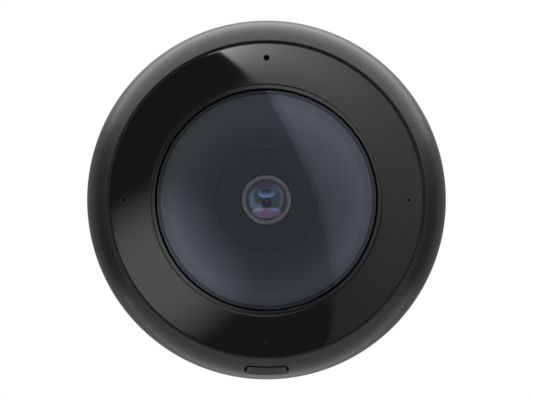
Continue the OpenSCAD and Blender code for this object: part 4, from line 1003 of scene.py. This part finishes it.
def clear(slot, roughness, ior, mottle=0.02):
    """A clear finish that soft light passes straight through."""
    material = moulding(slot, roughness, mottle, 200.0, 0, roughness, Transmission_Weight=1.0, IOR=ior)
    tree = material.node_tree
    glass = tree.nodes["Principled BSDF"].outputs[0]
    through = add(tree, "BsdfTransparent", {"Color": CLEAR_TINT}).outputs[0]
    both = mixed(tree, ray_is(tree, "Shadow", "Diffuse"), glass, through)
    tree.links.new(both, tree.nodes["Material Output"].inputs["Surface"])
    return material


finishes["clear_dome"] = clear("clear_dome", 0.0, 1.58, 0.0)
finishes["filter_glass"] = clear("filter_glass", 0.02, 1.5)
finishes["lamp_clear"] = clear("lamp_clear", 0.05, 1.5)
print("clear finishes: dome, filters, lamps")

# %% [markdown]
# The dome's upright edge and its flange are masked in black, so that nobody looks into the
# clamp. From the front this shows as a dark band just inside the dome's ring.

# %% The dome's black edge
MASK_DROP = (0.4, 0.6)
MASK_INK = (0.012, 0.012, 0.014, 1)

tree = finishes["clear_dome"].node_tree
masked = ramp(axes(tree)[1], *[(drop - DOME_EDGE) * mm for drop in MASK_DROP])
ink = add(tree, "BsdfDiffuse", {"Color": MASK_INK}).outputs[0]
end = tree.nodes["Material Output"].inputs["Surface"]
tree.links.new(mixed(tree, masked, end.links[0].from_socket, ink), end)
print("dome masked below", round(DOME_EDGE - MASK_DROP[1], 1), "mm from the wall")

# %% [markdown]
# ## The lens and its painted reflections
# In a real lens each coated face mirrors one colour more than the others, and the lenses behind mirror
# the studio again, smaller and bent. Seen from outside this is a small picture in deep glass: a blue pool
# above, green crescents at the sides, a purple bowl below and a black pupil. Here the glass does not make
# that picture. It is painted reflection, laid into the lens's base colour as soft ellipses over one
# another. A second ellipse leaves a crescent of the first, and a layer may keep to the upper part, the
# lower part or the bowl.

# %% Lens: painted reflections
LENS_BASE = (0.013, 0.016, 0.028, 1)
LOWER_PART = (-2.9, -3.3)
BOWL = (0, -4.9, 6.0, 2.4)
# Each layer is painted reflection: a colour laid over a soft ellipse on the lens.
LENS_REFLECTION_LAYERS = [  # colour, part, ellipse (middle x and z, half width and height in mm), cut, softness
    ((0.030, 0.012, 0.028), None, (0, 0, 7.75, 7.75), (0, 0, 7.1, 7.1), 0.03),
    ((0.012, 0.024, 0.022), "upper", (-3.9, 0.3, 2.4, 3.8), None, 0.2),
    ((0.012, 0.024, 0.022), "upper", (3.9, 0.5, 2.6, 4.0), None, 0.2),
    ((0.050, 0.088, 0.100), "upper", (-3.9, 0.0, 2.9, 4.4), (-3.0, 1.5, 2.3, 3.4), 0.3),
    ((0.034, 0.070, 0.076), "upper", (3.7, 0.9, 3.0, 4.6), (2.8, 0.7, 2.9, 4.3), 0.2),
    ((0.030, 0.042, 0.070), None, (-0.1, 3.1, 3.4, 1.95), None, 0.2),
    ((0.008, 0.010, 0.026), None, (0.0, 3.8, 2.2, 0.9), None, 0.5),
    ((0.080, 0.125, 0.300), None, (-0.1, 2.5, 3.0, 1.5), (-0.1, 3.4, 3.2, 1.5), 0.25),
    ((0.085, 0.052, 0.090), "lower", BOWL, None, 0.1),
    ((0.100, 0.045, 0.065), "bowl", (0.1, -3.9, 1.1, 1.4), None, 0.4),
    ((0.110, 0.125, 0.220), "bowl", (-3.4, -3.6, 2.2, 0.9), None, 0.5),
    ((0.085, 0.085, 0.210), "bowl", (3.1, -3.7, 2.3, 0.8), None, 0.5),
    ((0.004, 0.005, 0.006), "upper", (0.0, -1.2, 2.0, 2.1), None, 0.25),
    ((0.050, 0.014, 0.022), None, (0.05, -0.37, 0.6, 0.5), None, 0.4),
]


def lens_reflection_pattern(tree, given):
    """The painted reflections of the lens, laid one over the other on the given colour."""
    across, _, up = axes(tree)

    def pool(ellipse, soft):
        x = (across - ellipse[0] * mm) / (ellipse[2] * mm)
        z = (up - ellipse[1] * mm) / (ellipse[3] * mm)
        return ramp(calc("SQRT", x * x + z * z), 1 + soft, 1 - soft)

    lower = ramp(up, *[level * mm for level in LOWER_PART])
    parts = {"upper": 1.0 - lower, "lower": lower, "bowl": lower * pool(BOWL, 0.1)}
    look = given["Colour"]
    for colour, part, ellipse, cut, soft in LENS_REFLECTION_LAYERS:
        mask = pool(ellipse, soft)
        if cut:
            mask = mask * (1.0 - pool(cut, soft + 0.1))
        if part:
            mask = mask * parts[part]
        layer = {"Factor": mask, "A": look, "B": (*colour, 1)}
        look = value(tree, "Result", "Mix", layer, data_type="RGBA")
    return {"Colour": look}


# The painted reflections go into the lens's base colour, and the shader's own gloss lies over them.
lens_reflection_paint = group_of("lens painted reflections", (), lens_reflection_pattern)
finishes["lens_glass"] = finish("lens_glass", lens_reflection_paint, {"Colour": LENS_BASE}, Roughness=0.06,
                                Specular_IOR_Level=0.2)
print("lens painted in", len(LENS_REFLECTION_LAYERS), "layers")

# %% [markdown]
# ## Handing the pieces over
# A new piece gets normals weighted by the size of its faces, so that a flat beside a fine
# rounding looks flat. It rides on the body of the node that it stands for, takes its slot and
# hides it. The nodes that stay get the finish of their own slot.

# %% Ride, replace and finish
SLOT_OF = {part["node"]: part["material_slot"] for part in frame["record"]["subparts"]}
BODY_OF = {node: body for body, nodes in frame["record"]["behaviour"]["bodies"].items() for node in nodes}
new_pieces = {
    "front_casing": casing, "release_tab": tab, "fascia": window, "dome_ring": ring, "dome": dome,
    "inner_shroud": liner, "lens_collar": disc, "lens_bezel": bezel, "front_lens": lens,
    "inner_lenses": inner_lenses[0], "light_sensor": sensor, "light_pipe": pipe, **soft_pieces,
}
for node, piece in new_pieces.items():
    modified(smooth(piece), "WEIGHTED_NORMAL", keep_sharp=True, weight=95)
    piece.name = piece.data.name = node + "_finished"
    piece.data.materials.clear()
    piece.data.materials.append(finishes[SLOT_OF[node]])
    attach(piece, BODY_OF[node])
    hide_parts(node)
for node, piece in frame["nodes"].items():
    for holder in piece.material_slots:
        holder.material = finishes[SLOT_OF[node]]
    if not piece.material_slots:
        piece.data.materials.append(finishes[SLOT_OF[node]])
print(len(new_pieces), "new pieces stand for nodes;", len(frame["nodes"]) - len(new_pieces), "nodes stay")

# %% [markdown]
# ## Floor and studio
# The floor is plain and pale and lies a little below the camera. It is white to the eye but
# keeps a soft shadow. Seen from below it is clear, and mirrored rays find only its part behind
# and near the camera, so that the glossy pieces mirror the dark room in front. The world is
# white to the eye. For light and mirrored rays it is dim in front and a little brighter behind.

# %% Floor
FLOOR_Z = -0.10
FLOOR_PAPER = (0.28, 0.9)
SHADOW_R = (0.2, 0.4)
SHADOW_SHARE = 0.4
FLOOR_FRONT = (-0.02, -0.06)
MIRRORED_R = (0.12, 0.28)


def stage_plane(name, size, middle, turn=0):
    """A square plane of the stage, level or turned about the x axis."""
    nothing_selected()
    bpy.ops.mesh.primitive_plane_add(size=size, location=middle, rotation=(math.radians(turn), 0, 0))
    plane = named(name)
    return plane


floor = stage_plane("floor", 8, (0, 0, FLOOR_Z))
floor_finish, tree, end = new_material("pale floor")
seen = ray_is(tree, "Camera")
away = value(tree, "Value", "VectorMath", {0: place_on(tree)}, operation="LENGTH")
paper = add(tree, "BsdfDiffuse", {"Color": seen * (FLOOR_PAPER[1] - FLOOR_PAPER[0]) + FLOOR_PAPER[0]})
white = add(tree, "Emission", {"Color": (1, 1, 1, 1), "Strength": 1.0})
whiteness = seen * ramp(away, *SHADOW_R, SHADOW_SHARE, 1.0)
top_side = mixed(tree, whiteness, paper.outputs[0], white.outputs[0])
too_far = calc("MAXIMUM", ramp(axes(tree)[1], *FLOOR_FRONT), ramp(away, *MIRRORED_R))
from_below = value(tree, "Backfacing", "NewGeometry")
hidden = calc("MAXIMUM", from_below, ray_is(tree, "Glossy", "Transmission") * too_far)
tree.links.new(mixed(tree, hidden, top_side, add(tree, "BsdfTransparent").outputs[0]), end)
floor.data.materials.append(floor_finish)
print("floor at", FLOOR_Z, "m")

# %% World
WORLD_IN_FRONT = 0.05
MORE_BEHIND = {"soft": 0.3, "mirrored": 0.22}

world = bpy.data.worlds.new("studio")
world.use_nodes = True
bpy.context.scene.world = world
tree = world.node_tree
behind = ramp(axes(tree, "Generated")[1], -0.1, 0.3)
mirrored = ray_is(tree, "Glossy", "Transmission")
more = mirrored * (MORE_BEHIND["mirrored"] - MORE_BEHIND["soft"]) + MORE_BEHIND["soft"]
dim = behind * more + WORLD_IN_FRONT
strength = ray_is(tree, "Camera") * (1.0 - dim) + dim
background = tree.nodes["Background"]
tree.links.new(strength.socket, background.inputs["Strength"])
background.inputs["Color"].default_value = (1, 1, 1, 1)
print("world: white to the eye, dim in front, brighter behind")

# %% [markdown]
# ## Lamps
# A wide soft panel hangs overhead in three parts. The middle part lights all matt pieces and
# the floor. The front and back parts, and a low panel on the floor, are only mirrored by the
# casing and the tab: they draw the long soft highlight over the rim. The black glossy pieces
# get no lamp. They are lit by the reflector cards below, as in a product studio, where black
# gloss is lit by what it mirrors. The lens and its bezel have a small soft lamp of their own.

# %% Lamps
GLOSSY = ("fascia", "dome", "dome_ring", "front_lens")
PANEL_X = (-2.46, 3.1)
PANEL_Z = 1.2
PANEL_PARTS = {"top_panel": (-0.3, 1.6, 2.1), "front_panel": (-9.0, -0.3, 1.9),
               "back_panel": (1.6, 6.0, 0.25)}
LOW_PANEL = {"place": (0, -0.295, FLOOR_Z + 0.005), "size": (0.3, 0.62), "level": 0.7}
LENS_LAMP = {"place": (0, -1.0, 0.25), "size": (0.6, 0.6), "level": 100 / 9}


def lit_group(name, pieces):
    """A collection of the pieces that a lamp or a card may light."""
    group = bpy.data.collections.new(name)
    for piece in pieces:
        group.objects.link(piece)
    return group


def lamp(name, place, size, level, receivers, turn=0):
    """A soft panel of a brightness that faces down, or is turned about the x axis."""
    nothing_selected()
    bpy.ops.object.light_add(type="AREA", location=place, rotation=(math.radians(turn), 0, 0))
    made = bpy.context.object
    made.name = name
    made.data.shape = "RECTANGLE"
    made.data.size, made.data.size_y = size
    made.data.energy = 4 * level * size[0] * size[1]
    made.visible_camera = False
    made.light_linking.receiver_collection = receivers
    return made


all_pieces = list(frame["nodes"].items()) + list(new_pieces.items())
matt_pieces = lit_group("matt pieces", [piece for node, piece in all_pieces if node not in GLOSSY])
matt_pieces.objects.link(floor)
shell_only = lit_group("casing and tab", [casing, tab])
for name, (near, far, level) in PANEL_PARTS.items():
    middle = (sum(PANEL_X) / 2, (near + far) / 2, PANEL_Z)
    receivers = matt_pieces if name == "top_panel" else shell_only
    panel = lamp(name, middle, (PANEL_X[1] - PANEL_X[0], far - near), level, receivers)
    panel.visible_diffuse = name == "top_panel"
lamp("low_panel", **LOW_PANEL, receivers=shell_only, turn=180).visible_diffuse = False
lens_and_bezel = lit_group("lens and bezel", [lens, bezel])
lamp("lens_lamp", **LENS_LAMP, receivers=lens_and_bezel, turn=90).visible_glossy = False
print("lamps: three parts of a wide panel overhead, a low one, and one for the lens")

# %% [markdown]
# The cards are large and far away, so what a glossy surface mirrors depends only on where it
# points. Each one is described by the slopes u (to the right) and w (upwards) of a direction
# that leaves the camera to the front. The dome curves ten times as much as the window, so it
# has a card of its own. The numbers in the sums were fitted to the brightness of the window and
# of the dome in the photograph, along circles round the lens.

# %% Reflector cards
CARD_BASE = 0.11
DOME_BASE = 0.16
WEDGE_WAY = (-0.829, -0.559)


def card(name, distance, size, glow, receivers):
    """A glowing see-through plane in front of the camera that only the receivers mirror."""
    plane = stage_plane(name, size, (0, -distance, 0), 90)
    material, tree, end = new_material(name)
    tree.nodes.remove(tree.nodes["Principled BSDF"])
    right, _, above = axes(tree)
    strength, colour = glow(right / distance, above / distance)
    light = add(tree, "Emission", {"Color": (*colour, 1), "Strength": strength}).outputs[0]
    sheet = add(tree, "AddShader", {0: light, 1: add(tree, "BsdfTransparent").outputs[0]})
    tree.links.new(sheet.outputs[0], end)
    plane.data.materials.append(material)
    for kind in ("visible_camera", "visible_shadow", "visible_diffuse"):
        setattr(plane, kind, False)
    plane.light_linking.receiver_collection = lit_group(name + " receivers", receivers)


# %% What the window and the dome mirror


def positive(given):
    """A value, or 0 where it is less."""
    return calc("MAXIMUM", given, 0.0)


def clock_parts(u, w):
    """How steep a direction is, and how far up it points, from -1 to 1."""
    span = calc("SQRT", u * u + w * w)
    return span, w / calc("MAXIMUM", span, 0.001)


def wedge(u, w, span, wide, narrow):
    """A soft wedge of directions about half past seven in the front view."""
    along = u * WEDGE_WAY[0] + w * WEDGE_WAY[1]
    return ramp(along / calc("MAXIMUM", span, 0.001), wide, narrow)


def window_glow(u, w):
    """What the window mirrors: a panel on the right, brightest at its upper edge, and a low wedge."""
    span, upwards = clock_parts(u, w)
    size = calc("ABSOLUTE", w)
    past = u - size * (size * -0.65 + 0.31) + w * (size * -0.077 + 0.39)
    panel = ramp(past, -0.003, 0.003)
    base = positive(upwards) ** 3.0 * 0.5 + (upwards * 0.4 + 0.62)
    edge = positive(w) ** 2.57 * 65.0
    low = wedge(u, w, span, span * 0.3 + 0.7, 1.02)
    lit = panel * (edge * math.e ** (past * -8.7) + base)
    return low * 1.75 + lit + CARD_BASE, (0.97, 0.98, 1.0)


def dome_glow(u, w):
    """What the dome mirrors: the same panel and wedge, brighter towards the sides."""
    span, upwards = clock_parts(u, w)
    past = u - (w * -0.383 + 0.548) - w * w * 0.06
    lit = (span * 0.21 + 0.145) * (upwards * 0.2 + positive(upwards) * 0.46 + 0.87)
    low = wedge(u, w, span, 0.62, 1.1) * positive(span * 0.8 - 0.393)
    haze = positive(span * 0.24 - 0.144)
    total = haze + low + lit * ramp(past, -0.02, 0.02)
    return total * ramp(span, 1.58, 1.76, 1.0, 0.55) + DOME_BASE, (0.76, 0.85, 1.0)


card("window_card", 10, 14, window_glow, [window, ring])
card("dome_card", 11, 88, dome_glow, [dome])
print("cards: window and dome")

# %% [markdown]
# ## The eye
# The photograph looks at the camera from straight ahead with a long lens, two metres away.

# %% Camera
EYE = (0, -2.015, 0)
nothing_selected()
bpy.ops.object.camera_add(location=EYE, rotation=(math.radians(90), 0, 0))
eye = bpy.context.object
eye.name = "eye"
eye.data.lens = 332
eye.data.sensor_width = 36
bpy.context.scene.camera = eye
bpy.context.scene.view_settings.view_transform = "Standard"
print("eye at", EYE)
